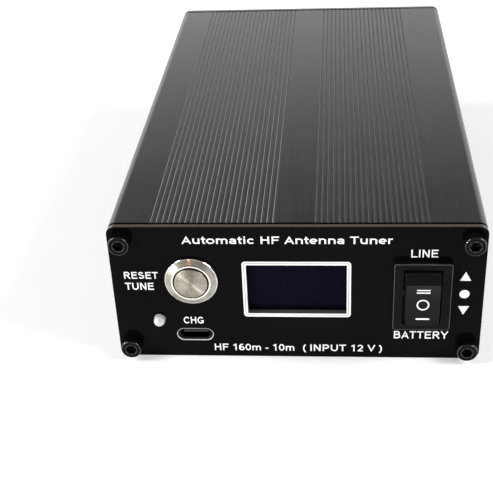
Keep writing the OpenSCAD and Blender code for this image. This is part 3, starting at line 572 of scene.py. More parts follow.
def lathe(profile, origin, segments=SEGMENTS, bm=None, direction=1):
    """Turns a profile of (radius, distance) points about an axis along Y. It meets the axis at an end,
    or closes on itself."""
    bm = bm or bmesh.new()
    rows = []
    for radius, distance in profile:
        y = origin.y + direction * distance
        if radius < AXIS_REACH:
            rows.append([bm.verts.new((origin.x, y, origin.z))])
        else:
            rows.append(around(bm, origin, segments, lambda k: (radius, y)))
    if len(rows[0]) > 1 and len(rows[-1]) > 1:
        rows.append(rows[0])
    for a, b in zip(rows, rows[1:]):
        if len(a) > 1 and len(b) > 1:
            bridge(bm, a, b)
            continue
        for k in range(segments):
            j = (k + 1) % segments
            bm.faces.new([a[0], b[j], b[k]] if len(a) == 1 else [a[k], a[j], b[0]])
    return bm


# ---------------- case

CASE_HALF_W, SHELL_END, CASE_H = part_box("upper_shell")[1]
SKIN = 1.2 * MM
HAIR = 0.01 * MM
END_SLOT = 0.85 * MM
END_SLOT_DEPTH = 0.7 * MM
LIP = 0.05 * MM
# How far a groove's lips and walls lean, as their normals' X, and the least Z of a lip's normal.
LIP_LEAN = (0.2, 0.5)
WALL_LEAN = 0.9
LIP_TILT = 0.4
SHELL_FINISH = ("shell", "gap", "groove_left_highlight", "groove_right_highlight", "groove_shade")
GAP_SHADE, LEFT_LIP_HIGHLIGHT, RIGHT_LIP_HIGHLIGHT, SHADE = 1, 2, 3, 4
GROOVES_TO_X = 42 * MM


def on_skin(co):
    """Whether a point is on the case's outside rather than inside its hollow."""
    return abs(co.x) > CASE_HALF_W - SKIN or abs(co.z - CASE_H / 2) > CASE_H / 2 - SKIN


def make_shell(node):
    """The extruded shell: groove lips broken, and a narrow step where it meets the panels."""
    bm = copied(node)

    def lip(edge):
        a, b = (v.co for v in edge.verts)
        return abs(a.x - b.x) < HAIR and all(min(c.z, CASE_H - c.z) < HAIR for c in (a, b))

    soften(bm, LIP, 1, degrees=25, keep=lip)
    step_y = SHELL_END - END_SLOT
    for side in (-1, 1):
        for y in (step_y, step_y + 2 * HAIR):
            bmesh.ops.bisect_plane(bm, geom=bm.verts[:] + bm.edges[:] + bm.faces[:],
                                   plane_co=(0, side * y, 0), plane_no=(0, 1, 0))
    middle = CASE_H / 2
    for v in bm.verts:
        if abs(v.co.y) > step_y + HAIR and on_skin(v.co):
            v.co.x *= 1 - END_SLOT_DEPTH / CASE_HALF_W
            v.co.z = middle + (v.co.z - middle) * (1 - END_SLOT_DEPTH / middle)
    bm.normal_update()
    bmesh.ops.recalc_face_normals(bm, faces=bm.faces)
    for face in bm.faces:
        at, lean = face.calc_center_median(), face.normal.x
        if not on_skin(at):
            continue
        # The end step's faces take the dark finish: painted shade.
        if abs(at.y) > step_y - HAIR:
            face.material_index = GAP_SHADE
        elif abs(at.x) > GROOVES_TO_X:
            continue
        # Lips that lean right take a painted highlight, lighter on the left half; walls that lean left take
        # the darker groove finish, painted shade.
        elif LIP_LEAN[0] < lean < LIP_LEAN[1] and abs(face.normal.z) > LIP_TILT:
            face.material_index = LEFT_LIP_HIGHLIGHT if at.x < 0 else RIGHT_LIP_HIGHLIGHT
        elif -WALL_LEAN < lean < -LIP_LEAN[0]:
            face.material_index = SHADE
    stand_in(node, bm, "shell", SHELL_FINISH, sharp=28)


make_shell("upper_shell")
make_shell("lower_shell")

# ---------------- panels

front_y, front_back = (corner.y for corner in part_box("front_panel"))
rear_back, rear_y = (corner.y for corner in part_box("rear_panel"))
PANEL_CORNER = 2.2 * MM
PANEL_EDGE = 0.16 * MM
SCREWS = [on_face(x * MM, z * MM) for x in (-45, 45) for z in (4, 37)]
SCREW_HOLE = 1.65 * MM
BUTTON_HOLE = 6.05 * MM
LAMP_HOLE = 1.55 * MM
SOCKET_HOLE = 7.8 * MM
JACK_HOLE = 4.05 * MM
SWITCH_HOLE_W, SWITCH_HOLE_H = 12.9 * MM, 18.9 * MM
window_at = centre("display_glass")
WINDOW_W, WINDOW_H = 26.0 * MM, 15.1 * MM
WINDOW_CORNER = 0.25 * MM
PORT_SLOT_W, PORT_SLOT_H = 9.6 * MM, 3.64 * MM
PORT_RIM = 0.14 * MM
PANEL_FINISH = ("panel", "laminate", "milled", "port_edge_highlight")
LACQUER, LAMINATE, MILLED, PORT_HIGHLIGHT = 0, 1, 2, 3
PRINT_H = 0.02 * MM
rocker_at = centre("rocker_pivot")
lamp_at = centre("charge_lamp")
port_at = centre("port_shell")


def case_outline():
    return round_rectangle(on_face(0, CASE_H / 2), 2 * CASE_HALF_W, CASE_H, PANEL_CORNER, 8)


def stadium(at, w, h, steps=12):
    """A slot with round ends. They fall just short of meeting, so that no two points fall together."""
    return round_rectangle(at, w, h, h / 2 * 0.9999, steps)


def screw_holes():
    return [ring_of(at, SCREW_HOLE) for at in SCREWS]


def make_front_panel():
    holes = screw_holes() + [
        ring_of(button_at, BUTTON_HOLE),
        round_rectangle(rocker_at, SWITCH_HOLE_W, SWITCH_HOLE_H, 0.2 * MM, 3),
        round_rectangle(window_at, WINDOW_W, WINDOW_H, WINDOW_CORNER, 5),
        stadium(port_at, PORT_SLOT_W, PORT_SLOT_H),
        ring_of(lamp_at, LAMP_HOLE),
    ]
    bm = plate(case_outline(), holes, front_y, front_back, PANEL_EDGE, rim_slot=LAMINATE, hole_slot=MILLED)
    for face in bm.faces:
        at = face.calc_center_median()
        beside_port = (abs(at.x - port_at.x) < PORT_SLOT_W / 2 + PANEL_EDGE
                       and abs(at.z - port_at.z) < PORT_SLOT_H / 2 + PANEL_EDGE)
        # The slot's rim near the front takes the light finish: a painted highlight.
        if beside_port and at.y < front_y + PORT_RIM and face.material_index == MILLED:
            face.material_index = PORT_HIGHLIGHT
        if at.y < front_y + PANEL_EDGE and face.material_index == LAMINATE:
            face.material_index = LACQUER
    stand_in("front_panel", bm, "panel", PANEL_FINISH)


def make_rear_panel():
    holes = screw_holes() + [ring_of(at, SOCKET_HOLE) for at in socket_at.values()]
    holes.append(ring_of(jack_at, JACK_HOLE))
    bm = plate(case_outline(), holes, rear_back, rear_y, PANEL_EDGE, rim_slot=LAMINATE, hole_slot=MILLED)
    stand_in("rear_panel", bm, "panel", PANEL_FINISH)


make_front_panel()
make_rear_panel()

# ---------------- printing

INK = 0.155
HALF_INK = INK / 2
X_HEIGHT = 0.73
TOP = 1 - HALF_INK
SIDE_BEARINGS = 0.2
LAYER_LIFT = 0.03
FRONT, REAR = -1, 1


def bow(x, z, across, up, start, end, steps=12):
    """Points along an ellipse, from one angle to another in degrees."""
    made = []
    for k in range(steps + 1):
        a = math.radians(start + (end - start) * k / steps)
        made.append((x + across * math.cos(a), z + up * math.sin(a)))
    return made


def oval(x, z, across, up):
    """A closed ellipse. The word at the end of its points says that it joins up."""
    return bow(x, z, across, up, 0, 345, 23) + ["closed"]


def bar(z, left, right):
    return [(left, z), (right, z)]


def upright(x, height=1):
    return [(x, 0), (x, height)]


def make_glyphs():
    """A plain sans alphabet. Each letter is its advance and its strokes' centre lines, with the
    height of a capital as the unit."""
    stem, small_stem = upright(0.19), upright(0.18, X_HEIGHT)
    low, tall, half = HALF_INK, TOP, 0.5 - HALF_INK
    small = X_HEIGHT / 2
    small_r = small - HALF_INK
    arch_z = 0.46

    def belly(x, z, across, foot):
        """From the stem along the top, round a bowl and back."""
        return bar(tall, 0.19, x) + bow(x, z, across, tall - z, 90, -90) + [(0.19, foot)]

    def arch(x, across, start=180):
        return bow(x, arch_z, across, X_HEIGHT - HALF_INK - arch_z, start, 0) + [(x + across, 0)]

    return {
        " ": (0.39, []),
        "A": (0.93, [[(0.09, 0), (0.465, 0.90), (0.84, 0)], bar(0.32, 0.24, 0.69)]),
        "B": (0.97, [stem, belly(0.50, 0.73, 0.24, 0.545),
                     [(0.50, 0.545)] + bow(0.53, 0.315, 0.28, 0.23, 90, -90) + [(0.19, low)]]),
        "C": (1.0, [bow(0.53, 0.5, 0.38, half, 38, 322)]),
        "D": (0.97, [stem, belly(0.43, 0.5, 0.37, low)]),
        "E": (0.93, [stem, bar(tall, 0.19, 0.83), bar(0.53, 0.19, 0.78), bar(low, 0.19, 0.85)]),
        "F": (0.85, [stem, bar(tall, 0.19, 0.80), bar(0.51, 0.19, 0.72)]),
        "G": (1.08, [bow(0.54, 0.5, 0.39, half, 42, 325), bar(0.42, 0.56, 0.95),
                     [(0.87, 0.42), (0.87, 0.10)]]),
        "H": (1.0, [stem, upright(0.81), bar(0.53, 0.19, 0.81)]),
        "I": (0.39, [stem]),
        "L": (0.85, [stem, bar(low, 0.19, 0.80)]),
        "N": (1.0, [stem, upright(0.81), [(0.20, 0.98), (0.80, 0.02)]]),
        "P": (0.93, [stem, belly(0.50, 0.68, 0.27, 0.445)]),
        "R": (1.0, [stem, belly(0.52, 0.71, 0.26, 0.505), [(0.50, 0.50), (0.86, 0)]]),
        "S": (0.93, [bow(0.45, 0.725, 0.27, tall - 0.725, 22, 262, 14)
                     + bow(0.47, 0.295, 0.31, 0.21, 82, -158, 14)]),
        "T": (0.86, [upright(0.43), bar(tall, 0.04, 0.82)]),
        "U": (1.0, [[(0.18, 1)] + bow(0.50, 0.39, 0.32, 0.39 - low, 180, 360) + [(0.82, 1)]]),
        "V": (0.93, [[(0.09, 1), (0.465, 0.10), (0.84, 1)]]),
        "Y": (0.93, [[(0.08, 1), (0.465, 0.46), (0.85, 1)], upright(0.465, 0.46)]),
        "a": (0.78, [arch(0.37, 0.23, 160), oval(0.36, 0.235, 0.235, 0.155)]),
        "c": (0.78, [bow(0.40, small, 0.28, small_r, 42, 318)]),
        "e": (0.78, [bow(0.40, small, 0.28, small_r, 0, 312), bar(0.37, 0.12, 0.68)]),
        "i": (0.39, [upright(0.19, X_HEIGHT), [(0.19, 0.84), (0.19, 1)]]),
        "m": (1.24, [small_stem, arch(0.40, 0.22), arch(0.84, 0.22)]),
        "n": (0.85, [small_stem, arch(0.43, 0.25)]),
        "o": (0.85, [oval(0.42, small, 0.31, small_r)]),
        "r": (0.54, [small_stem, bow(0.43, 0.44, 0.25, X_HEIGHT - low - 0.44, 180, 72)]),
        "t": (0.47, [[(0.22, 0.95)] + bow(0.36, 0.22, 0.14, 0.22 - low, 180, 285), bar(0.65, 0.03, 0.44)]),
        "u": (0.85, [[(0.18, X_HEIGHT)] + bow(0.42, 0.28, 0.24, 0.28 - low, 180, 360),
                     upright(0.67, X_HEIGHT)]),
        "0": (0.78, [oval(0.39, 0.5, 0.26, half)]),
        "1": (0.78, [upright(0.46), [(0.46, 0.94), (0.17, 0.74)]]),
        "2": (0.78, [bow(0.38, 0.68, 0.25, tall - 0.68, 168, -38) + [(0.15, low)], bar(low, 0.09, 0.69)]),
        "6": (0.78, [oval(0.39, 0.31, 0.26, 0.225), bow(0.44, 0.50, 0.31, half, 68, 190)]),
        "-": (0.47, [bar(0.36, 0.05, 0.42)]),
        "(": (0.45, [bow(0.62, 0.38, 0.42, 0.66, 118, 242)]),
        ")": (0.45, [bow(-0.17, 0.38, 0.42, 0.66, 62, -62)]),
    }


GLYPHS = make_glyphs()


def ink_stroke(bm, line, place, lift):
    """One flat stroke of ink along a centre line, mitred at its corners."""
    closed = line[-1] == "closed"
    line = [Vector(p) for p in line if p != "closed"]
    count = len(line)
    rows = []
    for i, here in enumerate(line):
        ways = []
        if closed or i > 0:
            ways.append((here - line[i - 1]).normalized())
        if closed or i < count - 1:
            ways.append((line[(i + 1) % count] - here).normalized())
        sides = [Vector((-w.y, w.x)) for w in ways]
        left = sum(sides, Vector((0, 0))).normalized()
        reach = left * (HALF_INK / max(0.5, left.dot(sides[0])))
        rows.append([bm.verts.new(place(point, level)) for point, level in (
            (here + reach, 0), (here + reach, lift), (here - reach, lift), (here - reach, 0))])
    tube(bm, rows, closed)


def print_text(name, words, x, z, width, height, face):
    """Words as a thin layer of ink, fitted to a width and a capital height, centred on x and z. face is
    the way that they face along Y."""
    advance = sum(GLYPHS[c][0] for c in words)
    plane = front_y if face == FRONT else rear_y
    stretch = width / (advance - SIDE_BEARINGS)
    bm = bmesh.new()
    along = 0.0
    for letter in words:
        step, strokes = GLYPHS[letter]
        for order, line in enumerate(strokes):
            def place(point, level, start=along):
                across = (start + point.x - advance / 2) * stretch
                return Vector((x - face * across, plane + face * level, z + (point.y - 0.5) * height))

            ink_stroke(bm, line, place, PRINT_H * (1 + LAYER_LIFT * order))
        along += step
    piece(name, bm, "panel", ["print"], sharp=20)


def print_shape(name, loops, finish="print"):
    """An outline with holes as a thin layer of ink on the front panel."""
    bm = plate(loops[0], loops[1:], front_y - PRINT_H, front_y, PRINT_H / 5, steps=1)
    piece(name, bm, "panel", [finish])


# Each label's words, its panel, and its left, right, bottom and top edges in millimetres.
LABELS = [
    ("print_title", "Automatic HF Antenna Tuner", FRONT, -28.8, 24.5, 36.1, 38.3),
    ("print_reset", "RESET", FRONT, -45.1, -36.2, 25.3, 27.4),
    ("print_tune", "TUNE", FRONT, -45.0, -37.5, 21.8, 24.0),
    ("print_charge", "CHG", FRONT, -30.3, -24.9, 10.9, 13.1),
    ("print_line", "LINE", FRONT, 29.4, 36.2, 32.1, 34.4),
    ("print_battery", "BATTERY", FRONT, 25.75, 39.9, 6.5, 8.9),
    ("print_range", "HF 160m - 10m", FRONT, -22.5, -0.8, 2.0, 4.2),
    ("print_supply", "( INPUT 12 V )", FRONT, 1.5, 22.8, 2.0, 4.2),
    ("print_antenna", "ANTENNA", REAR, -30.0, -18.0, 35.05, 37.35),
    ("print_input", "INPUT", REAR, 5.7, 14.3, 35.05, 37.35),
    ("print_power", "DC 12 V", REAR, 32.0, 42.0, 28.25, 30.55),
]
for label, words, face, left, right, bottom, top in LABELS:
    print_text(label, words, (left + right) / 2 * MM, (bottom + top) / 2 * MM,
               (right - left) * MM, (top - bottom) * MM, face)


def window_band(name, inner, outer, finish="print"):
    """A line printed round the window, from one distance outside its edge to another."""
    def loop(away):
        return round_rectangle(window_at, WINDOW_W + 2 * away, WINDOW_H + 2 * away,
                               WINDOW_CORNER + away * 0.55)

    print_shape(name, [loop(outer * MM), loop(inner * MM)], finish=finish)


window_band("print_window_inner", 0.06, 0.44)
window_band("print_window_middle", 0.445, 0.715, "print_grey")
window_band("print_window_outer", 0.72, 1.12)
MARK_X = 43.5 * MM
MARK_HALF_H, MARK_HALF_W = 1.36 * MM, 1.4416 * MM
MARK_DOT_R = 1.28 * MM
for name, z, way in (("print_up", 26.4, 1), ("print_down", 15.75, -1)):
    tip = Vector((MARK_X, z * MM + way * MARK_HALF_H))
    ends = [Vector((MARK_X + side * MARK_HALF_W, z * MM - way * MARK_HALF_H)) for side in (-way, way)]
    print_shape(name, [rounded_corners([tip, *ends], 0.05 * MM, 2)])
print_shape("print_middle", [ring_of(on_face(MARK_X, 20.9 * MM), MARK_DOT_R)])

# ---------------- panel screws

HEAD_R = 2.75 * MM
HEAD_H = 3.0 * MM
HEAD_LIP = 0.42 * MM
SHANK_L = 10 * MM
HEX_R = 1.45 * MM
HEX_DEPTH = 1.6 * MM
KNURLS = 40
KNURL_DEPTH = 0.07 * MM
KNURL_STEPS = 4
WORN_BANDS = (4, 5, 6, 8)


def socket_head(bm, at, plane, out):
    """A knurled socket-head screw. plane is the panel's face, and out the way it faces along Y."""
    count = KNURLS * KNURL_STEPS

    def ring(radius, depth, knurl=0.0):
        def shape(k):
            return radius - knurl * (0.5 + 0.5 * spoke(k, KNURL_STEPS)[0]), plane + out * depth

        return around(bm, at, count, shape)

    def hexagon(reach, depth):
        def shape(k):
            side = 2 * math.pi * k / count % (math.pi / 3) - math.pi / 6
            return reach * math.cos(math.pi / 6) / math.cos(side), plane + out * depth

        return around(bm, at, count, shape)

    rows = [
        ring(HEAD_R - 0.12 * MM, 0.0),
        ring(HEAD_R, 0.12 * MM, KNURL_DEPTH),
        ring(HEAD_R, HEAD_H - HEAD_LIP - 0.35 * MM, KNURL_DEPTH),
        ring(HEAD_R - 0.02 * MM, HEAD_H - HEAD_LIP - 0.2 * MM),
        ring(HEAD_R - 0.02 * MM, HEAD_H - HEAD_LIP),
        ring(HEAD_R - 0.06 * MM, HEAD_H - HEAD_LIP * 0.45),
        ring(HEAD_R - 0.16 * MM, HEAD_H - HEAD_LIP * 0.13),
        ring(HEAD_R - 0.32 * MM, HEAD_H),
        ring(HEX_R + 0.22 * MM, HEAD_H),
        hexagon(HEX_R + 0.12 * MM, HEAD_H - 0.05 * MM),
        hexagon(HEX_R, HEAD_H - 0.2 * MM),
        hexagon(HEX_R, HEAD_H - HEX_DEPTH),
        hexagon(HEX_R * 0.5, HEAD_H - HEX_DEPTH - 0.35 * MM),
    ]
    for i, (a, b) in enumerate(zip(rows, rows[1:])):
        for face in bridge(bm, a, b):
            face.material_index = 1 if i in WORN_BANDS else 0
    bm.faces.new(rows[0])
    bm.faces.new(rows[-1])


def shank(bm, at, start, end):
    """The threaded M3 shank behind a panel, with real thread crests."""
    pitch, crest, root = 0.5 * MM, 1.5 * MM, 1.28 * MM
    turns = int(abs(end - start) / pitch)
    profile = [(0, 0), (root, 0)]
    for i in range(turns):
        profile += [(crest, (i + 0.5) * pitch), (root, (i + 1) * pitch)]
    profile.append((0, turns * pitch + 0.2 * MM))
    lathe(profile, Vector((at.x, start, at.z)), segments=24, bm=bm, direction=1 if end > start else -1)


def make_panel_screws(node, plane, out):
    bm = bmesh.new()
    for at in SCREWS:
        socket_head(bm, at, plane, out)
        shank(bm, at, plane, plane - out * SHANK_L)
    stand_in(node, bm, "black_screw", ["black_screw", "screw_rim"], sharp=38)


make_panel_screws("front_screws", front_y, -1)
make_panel_screws("rear_screws", rear_y, 1)

# ---------------- tune button

RING_PROUD = front_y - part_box("button_housing")[0].y
RING_EDGE = 0.8 * MM
CAP_PROUD = front_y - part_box("button_cap")[0].y
CAP_R = 4.4 * MM
INNER_RIM = (4.76 * MM, 5.24 * MM)
OUTER_RIM = 6.78 * MM


def make_button():
    """The turned housing with its wide bevel, and the spun cap. The walls between them take a dark finish,
    painted shade, and the housing's rims a far lighter one, a painted highlight.
    """
    at = Vector((button_at.x, front_y, button_at.z))
    top, side = -RING_PROUD / MM, -RING_EDGE / MM
    ring = [(4.74, 1.0), (4.74, top + 0.1), (4.79, top + 0.03), (4.85, top), (5.14, top),
            (5.22, top + 0.03), (6.76, side - 0.13), (6.91, side - 0.06), (7.0, side + 0.06), (7.0, 0),
            (6.8, 0), (6.8, -0.7), (6.05, -0.7), (6.0, 0), (6.0, 14), (5.2, 14), (5.2, 1.0)]
    bm = lathe(in_mm(ring), at)
    for face in bm.faces:
        middle = face.calc_center_median()
        reach = math.hypot(middle.x - at.x, middle.z - at.z)
        # The rims at these radii take a painted highlight, and the bore round the cap painted shade.
        bright = INNER_RIM[0] < reach < INNER_RIM[1] or reach > OUTER_RIM
        if reach < INNER_RIM[0]:
            face.material_index = 1
        elif bright and middle.y < front_y:
            face.material_index = 2
    stand_in("button_housing", bm, "stainless", ["stainless", "gap", "rim_highlight"], sharp=24)

    edge = 0.2 * MM
    cap = [(0, -CAP_PROUD)]
    cap += [(CAP_R - edge + edge * math.sin(a), edge - CAP_PROUD - edge * math.cos(a)) for a in quarter(4)]
    cap += in_mm([(4.4, 1.1), (5.0, 1.1), (5.0, 2.1), (1.2, 2.1), (1.2, 6.2), (0, 6.2)])
    bm = lathe(cap, at)
    # The cap's side and back take the dark finish: painted shade.
    for face in bm.faces:
        face.material_index = 1 if face.calc_center_median().y > front_y - CAP_PROUD + edge else 0
    stand_in("button_cap", bm, "stainless_cap", ["stainless_cap", "gap"], "tune_button", sharp=30)


make_button()

# ---------------- rocker switch

FACE_PROUD = 6.5 * MM
CORNER_Z = 6.1 * MM
FACE_SAG = 1.0 * MM
FACE_R = (CORNER_Z ** 2 + FACE_SAG ** 2) / (2 * FACE_SAG)
MARK_LIFT = 0.012 * MM
MOULDED_EDGE = 0.16 * MM
FRAME_INSIDE_X, FRAME_INSIDE_Z = 5.5 * MM, 8.6 * MM


def make_rocker():
    """The frame and the paddle with moulded edges. The frame's outer front edges and the paddle's front
    edges take lighter finishes: painted highlights.
    """
    bm = copied("rocker_housing")
    frame_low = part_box("rocker_housing")[0].y

    def outer(edge):
        return all(abs(v.co.x - rocker_at.x) > FRAME_INSIDE_X or abs(v.co.z - rocker_at.z) > FRAME_INSIDE_Z
                   for v in edge.verts)

    def at_front(edge):
        return all(v.co.y < frame_low + HAIR for v in edge.verts)

    soften(bm, MOULDED_EDGE, 2, keep=lambda e: at_front(e) and not outer(e))
    soften(bm, MOULDED_EDGE, 2, finish=1, keep=lambda e: at_front(e) and outer(e))
    stand_in("rocker_housing", bm, "switch_frame", ["switch_frame", "switch_edge_highlight"], sharp=30)
    bm = copied("rocker_paddle")
    soften(bm, MOULDED_EDGE, 2, degrees=35, finish=1,
           keep=lambda e: all(v.co.y < rocker_at.y for v in e.verts))
    stand_in("rocker_paddle", bm, "switch_rocker", ["switch_rocker", "rocker_edge_highlight"], "rocker", sharp=30)


def face_y(z):
    """Where the paddle's hollow face lies at a height above its middle."""
    return rocker_at.y - FACE_PROUD + FACE_SAG - FACE_R + math.sqrt(FACE_R ** 2 - z ** 2)


def mark_on_rocker(name, first, second, closed=False):
    """A printed mark on the hollow face, between two rows of points about the rocker's middle."""
    bm = bmesh.new()
    rows = []
    for a, b in zip(first, second):
        corners = ((a, 0), (a, MARK_LIFT), (b, MARK_LIFT), (b, 0))
        rows.append([bm.verts.new((rocker_at.x + x, face_y(z) - lift, rocker_at.z + z))
                     for (x, z), lift in corners])
    tube(bm, rows, closed)
    piece(name, bm, "switch_rocker", ["print"], body="rocker")


make_rocker()
BAR_HALF = 1.72 * MM
BAR_T = 0.4 * MM
BAR_STEPS = 4
for name, middle in (("mark_bar_top", 4.35), ("mark_bar_upper", 3.45), ("mark_bar_lower", -4.5)):
    heights = [middle * MM + BAR_T * (k / BAR_STEPS - 0.5) for k in range(BAR_STEPS + 1)]
    mark_on_rocker(name, *[[(x, z) for z in heights] for x in (-BAR_HALF, BAR_HALF)])
RING_AT = -0.45 * MM
mark_on_rocker("mark_ring", *[ring_of(on_face(0, RING_AT), r) for r in (1.62 * MM, 1.25 * MM)], closed=True)

# ---------------- display, lamp and port

CONTACTS = 12
CONTACT_PITCH = 0.5 * MM


def make_softened(node, slot, width, degrees=40, sharp=32):
    """A CAD node's own shape with its edges rounded."""
    bm = copied(node)
    soften(bm, width, degrees=degrees)
    stand_in(node, bm, slot, sharp=sharp)


def make_lamp():
    """A lens with a round tip, its flange behind the panel."""
    radius, straight = 1.5, 0.9
    profile = [(radius * math.sin(a), -straight - radius * math.cos(a)) for a in quarter(10)]
    profile += [(radius, 3.4), (1.82, 3.4), (1.9, 3.48), (1.9, 4.32), (1.82, 4.4), (0, 4.4)]
    bm = lathe(in_mm(profile), Vector((lamp_at.x, front_y, lamp_at.z)), segments=48)
    stand_in("charge_lamp", bm, "lamp_lens", sharp=40)


def make_port():
    """The drawn steel shell with a rolled lip, closed at its back."""
    low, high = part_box("port_shell")
    wall, back_y = 0.3 * MM, high.y - 0.8 * MM
    w, h = high.x - low.x, high.z - low.z
    outer = stadium(port_at, w, h)
    inner = stadium(port_at, w - 2 * wall, h - 2 * wall)
    bm = plate(outer, [inner], low.y, back_y, 0.13 * MM, steps=4)
    absorb(bm, plate(outer, [], back_y, high.y, 0.05 * MM, steps=1))
    # Its finish is near-black: painted shade.
    stand_in("port_shell", bm, "port_steel")


def make_contacts():
    """The contacts on both sides of the port's tongue."""
    low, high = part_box("port_tongue")
    bm = bmesh.new()
    size = Matrix.Diagonal((0.26 * MM, 3.4 * MM, 0.05 * MM, 1))
    for z in (high.z + 0.015 * MM, low.z - 0.015 * MM):
        for i in range(CONTACTS):
            at = (port_at.x + (i - (CONTACTS - 1) / 2) * CONTACT_PITCH, low.y + 2.2 * MM, z)
            bmesh.ops.create_cube(bm, size=1, matrix=Matrix.Translation(at) @ size)
    piece("port_contacts", bm, "contact_brass")


make_softened("display_glass", "display_glass", 0.12 * MM)
make_lamp()
make_port()
make_softened("port_tongue", "black_nylon", 0.1 * MM)
make_contacts()

# ---------------- rear sockets

FLANGE_T = 1.58 * MM
THREAD_PITCH = 25.4 / 24 * MM
THREAD_DEPTH = 0.5 * MM
SOCKET_R = 7.9 * MM
NECK_R = 7.6 * MM
BORE_R = 6.35 * MM
INSULATOR_R = 5.1 * MM
FLANGE_HOLE = 1.6 * MM
FLANGE_W = 25.4 * MM
FLANGE_PITCH = 18.3 * MM


def make_barrel(node):
    """The threaded barrel: a real helix outside, a notched rim and a smooth bore."""
    at = socket_at[node]
    start, end = rear_y + 1.6 * MM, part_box(node)[1].y
    bore_end, inner_end = rear_y + 5.6 * MM, rear_y - 5.6 * MM
    count = int((end - start) / THREAD_PITCH * 8)
    bm = bmesh.new()

    def crest(y, k):
        phase = ((y - start) / THREAD_PITCH - k / SEGMENTS) % 1.0
        ridge = min(1.0, max(0.0, 1.6 - 3.2 * abs(phase - 0.5)))
        ease = min(1.0, (y - start) / (0.6 * MM), (end - y) / (0.7 * MM))
        return SOCKET_R - THREAD_DEPTH + THREAD_DEPTH * ridge * max(0.0, ease)

    def notch(k):
        """The rim dips in four shallow notches for the plug's teeth."""
        a = k / SEGMENTS * 4 % 1.0
        return 0.8 * MM * max(0.0, 1 - (abs(a - 0.5) / 0.075) ** 2)

    def ring(radius, y, notched=0):
        return around(bm, at, SEGMENTS, lambda k: (radius, y - notched * notch(k)))

    rows = [ring(NECK_R, start)]
    for i in range(count + 1):
        y = start + (end - 1.1 * MM - start) * i / count
        rows.append(around(bm, at, SEGMENTS, lambda k: (crest(y, k), y)))
    rim_r, edge = SOCKET_R - THREAD_DEPTH, 0.15 * MM
    rows += [ring(*place) for place in (
        (rim_r, end - 0.2 * MM, 1), (rim_r - edge, end, 1), (BORE_R + edge, end, 1),
        (BORE_R, end - edge, 1), (BORE_R, bore_end), (INSULATOR_R, bore_end),
        (INSULATOR_R, inner_end), (NECK_R, inner_end))]
    tube(bm, rows, closed=True)
    stand_in(node, bm, "socket_nickel", sharp=34)


def flange_screws(at):
    """The places of the four screws round a socket."""
    half = FLANGE_PITCH / 2
    return [on_face(at.x + x, at.z + z) for x in (-half, half) for z in (-half, half)]


def make_flanges():
    bm = bmesh.new()
    for at in socket_at.values():
        outer = round_rectangle(at, FLANGE_W, FLANGE_W, 1.5 * MM, 8)
        holes = [ring_of(at, NECK_R + HAIR, SEGMENTS)]
        holes += [ring_of(place, FLANGE_HOLE) for place in flange_screws(at)]
        absorb(bm, plate(outer, holes, rear_y + HAIR, rear_y + HAIR + FLANGE_T, 0.22 * MM))
    stand_in("socket_flanges", bm, "socket_nickel")


def pan_head(bm, at):
    """A domed screw head with a cross recess: rings of vertices whose height dips in the cross."""
    radius, height, cross, half = 2.75 * MM, 1.9 * MM, 1.55 * MM, 0.34 * MM
    rings, count = 14, 64
    base = rear_y + 1.61 * MM

    def dome(r, k):
        near, far = sorted(abs(r * part) for part in spoke(k, count))
        rise = height * (0.55 + 0.45 * math.sqrt(max(0.0, 1 - (r / radius) ** 2.6)))
        if near < half and far < cross:
            dip = min(1.0, (half - near) / (0.12 * MM), (cross - far) / (0.3 * MM))
            rise -= 0.95 * MM * dip * (1 - 0.35 * far / cross)
        return r, base + rise

    top = bm.verts.new((at.x, dome(0, 0)[1], at.z))
    rows = []
    for i in range(1, rings + 1):
        rows.append(around(bm, at, count, lambda k: dome(radius * i / rings, k)))
    rows.append(around(bm, at, count, lambda k: (radius, base)))
    for k in range(count):
        bm.faces.new((top, rows[0][k], rows[0][(k + 1) % count]))
    for a, b in zip(rows, rows[1:]):
        bridge(bm, a, b)
    bm.faces.new(rows[-1])


def make_flange_screws():
    bm = bmesh.new()
    for socket in socket_at.values():
        for at in flange_screws(socket):
            pan_head(bm, at)
            shank(bm, at, rear_y + 1.6 * MM, rear_y - 5 * MM)
    stand_in("socket_screws", bm, "nickel_steel", sharp=45)


def make_power_jack():
    at = Vector((jack_at.x, rear_y, jack_at.z))
    collar = [(2.85, -8), (2.85, 1.35), (3.1, 1.6), (4.9, 1.6), (5.2, 1.5), (5.4, 1.2), (5.4, 0.01),
              (4.0, 0.01), (4.0, -11.5), (1.1, -11.5), (1.1, -8)]
    stand_in("power_jack", lathe(in_mm(collar), at), "jack_plastic", sharp=35)
    pin = [(0, 0.4), (0.55, 0.36), (0.9, 0.16), (1.05, -0.2), (1.05, -15), (0, -15)]
    stand_in("jack_pin", lathe(in_mm(pin), at, segments=48), "nickel_steel", sharp=35)


for node in socket_at:
    make_barrel(node)
make_flanges()
make_flange_screws()
for node, slot in (("socket_insulators", "ptfe"), ("socket_contacts", "contact_brass")):
    make_softened(node, slot, 0.12 * MM, degrees=60, sharp=30)
make_power_jack()

# ---------------- everything that stays as CAD

NODE_SLOTS = {part["node"]: part["material_slot"] for part in frame["record"]["subparts"]}


def dress_cad_nodes():
    """Gives every CAD node that is still shown its own finish."""
    for name, made in frame["nodes"].items():
        slot = NODE_SLOTS.get(name)
        if made.hide_render or slot is None:
            continue
        if not made.material_slots:
            made.data.materials.append(FINISH[slot])
        for holder in made.material_slots:
            holder.material = FINISH[slot]


dress_cad_nodes()

# ---------------- studio

# Strengths of the light from all round, and where along a direction's X, Y or Z each one changes.
AROUND = 0.09
BACKDROP, BEHIND, FADE = 1.5, (0.1, 0.75), (0.28, 0.475)
HORIZON, HORIZON_RISE = 0.55, (0.0, 0.22)
LEFT_GAIN, SIDEWAYS = 1.25, (-0.5, 0.5)
FILL, AHEAD, FILL_FADE = 0.4, (-0.5, -0.05), (0.3, 0.55)
FLOOR_GLOW = 0.24


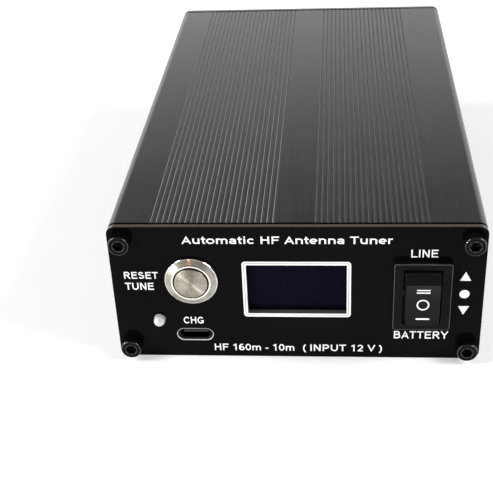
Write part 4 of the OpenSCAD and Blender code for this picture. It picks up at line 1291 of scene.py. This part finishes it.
def make_floor():
    bm = bmesh.new()
    bmesh.ops.create_grid(bm, x_segments=2, y_segments=2, size=3)
    mesh = bpy.data.meshes.new("floor")
    bm.to_mesh(mesh)
    bm.free()
    floor = placed("floor", mesh)
    n = Nodes("floor_paper", Specular_IOR_Level=0.1, Emission_Color=(1, 1, 1, 1),
              Emission_Strength=FLOOR_GLOW)
    paper = n.noise(n.place, 60)
    n.tone(paper, (0.87, 0.87, 0.87), (0.89, 0.89, 0.89))
    mesh.materials.append(n.surface(paper, 0.85, 0.95))


def light(name, kind, at, towards, **settings):
    data = bpy.data.lights.new(name, kind)
    for key, value in settings.items():
        setattr(data, key, value)
    made = placed(name, data)
    made.location = at
    made.rotation_euler = (Vector(towards) - Vector(at)).to_track_quat("-Z", "Y").to_euler()


def make_sky():
    """A studio all round: a bright backdrop low behind the object that fades upwards, dim elsewhere."""
    world = bpy.data.worlds.new("studio")
    bpy.context.scene.world = world
    world.use_nodes = True
    g = Graph(world.node_tree, "Generated")
    parts = g.parts(g.place)

    def ramp(axis, start, end, low, high):
        return g.spread(parts[axis], low, high, start, end, interpolation_type="SMOOTHSTEP")

    fade = g.math("MULTIPLY", ramp("Z", *FADE, 1.0, 0.0), ramp("Z", *HORIZON_RISE, HORIZON, 1.0))
    behind = g.math("MULTIPLY", ramp("Y", *BEHIND, 0.0, 1.0), fade)
    backdrop = g.math("MULTIPLY", behind, ramp("X", *SIDEWAYS, LEFT_GAIN, 1.0))
    ahead = g.math("MULTIPLY", ramp("Y", *AHEAD, FILL, 0.0), ramp("Z", *FILL_FADE, 1.0, 0.0))
    both = g.math("ADD", g.math("MULTIPLY", backdrop, BACKDROP), ahead)
    glow = world.node_tree.nodes["Background"].inputs
    glow["Color"].default_value = (1, 1, 1, 1)
    g.link(g.math("ADD", both, AROUND), glow["Strength"])


make_floor()
make_sky()
for name, side, power in (("box_left", -1, 27), ("box_right", 1, 25)):
    light(name, "AREA", (side * 1.3, -0.2, 0.9), (0, 0, 0), shape="RECTANGLE", size=0.9, size_y=0.7,
          energy=power)
light("spark", "AREA", (-1.0, -1.0, 0.0), (-0.03, -0.08, 0.025), shape="RECTANGLE", size=0.1, size_y=0.1,
      energy=20)
light("warm", "SPOT", (-0.0697, -0.361, 0.135), (-0.0273, -0.083, 0.029), shadow_soft_size=0.022,
      spot_size=math.radians(4), spot_blend=0.3, energy=0.38, color=(1, 0.42, 0.20))
bpy.context.scene.view_settings.view_transform = "Standard"
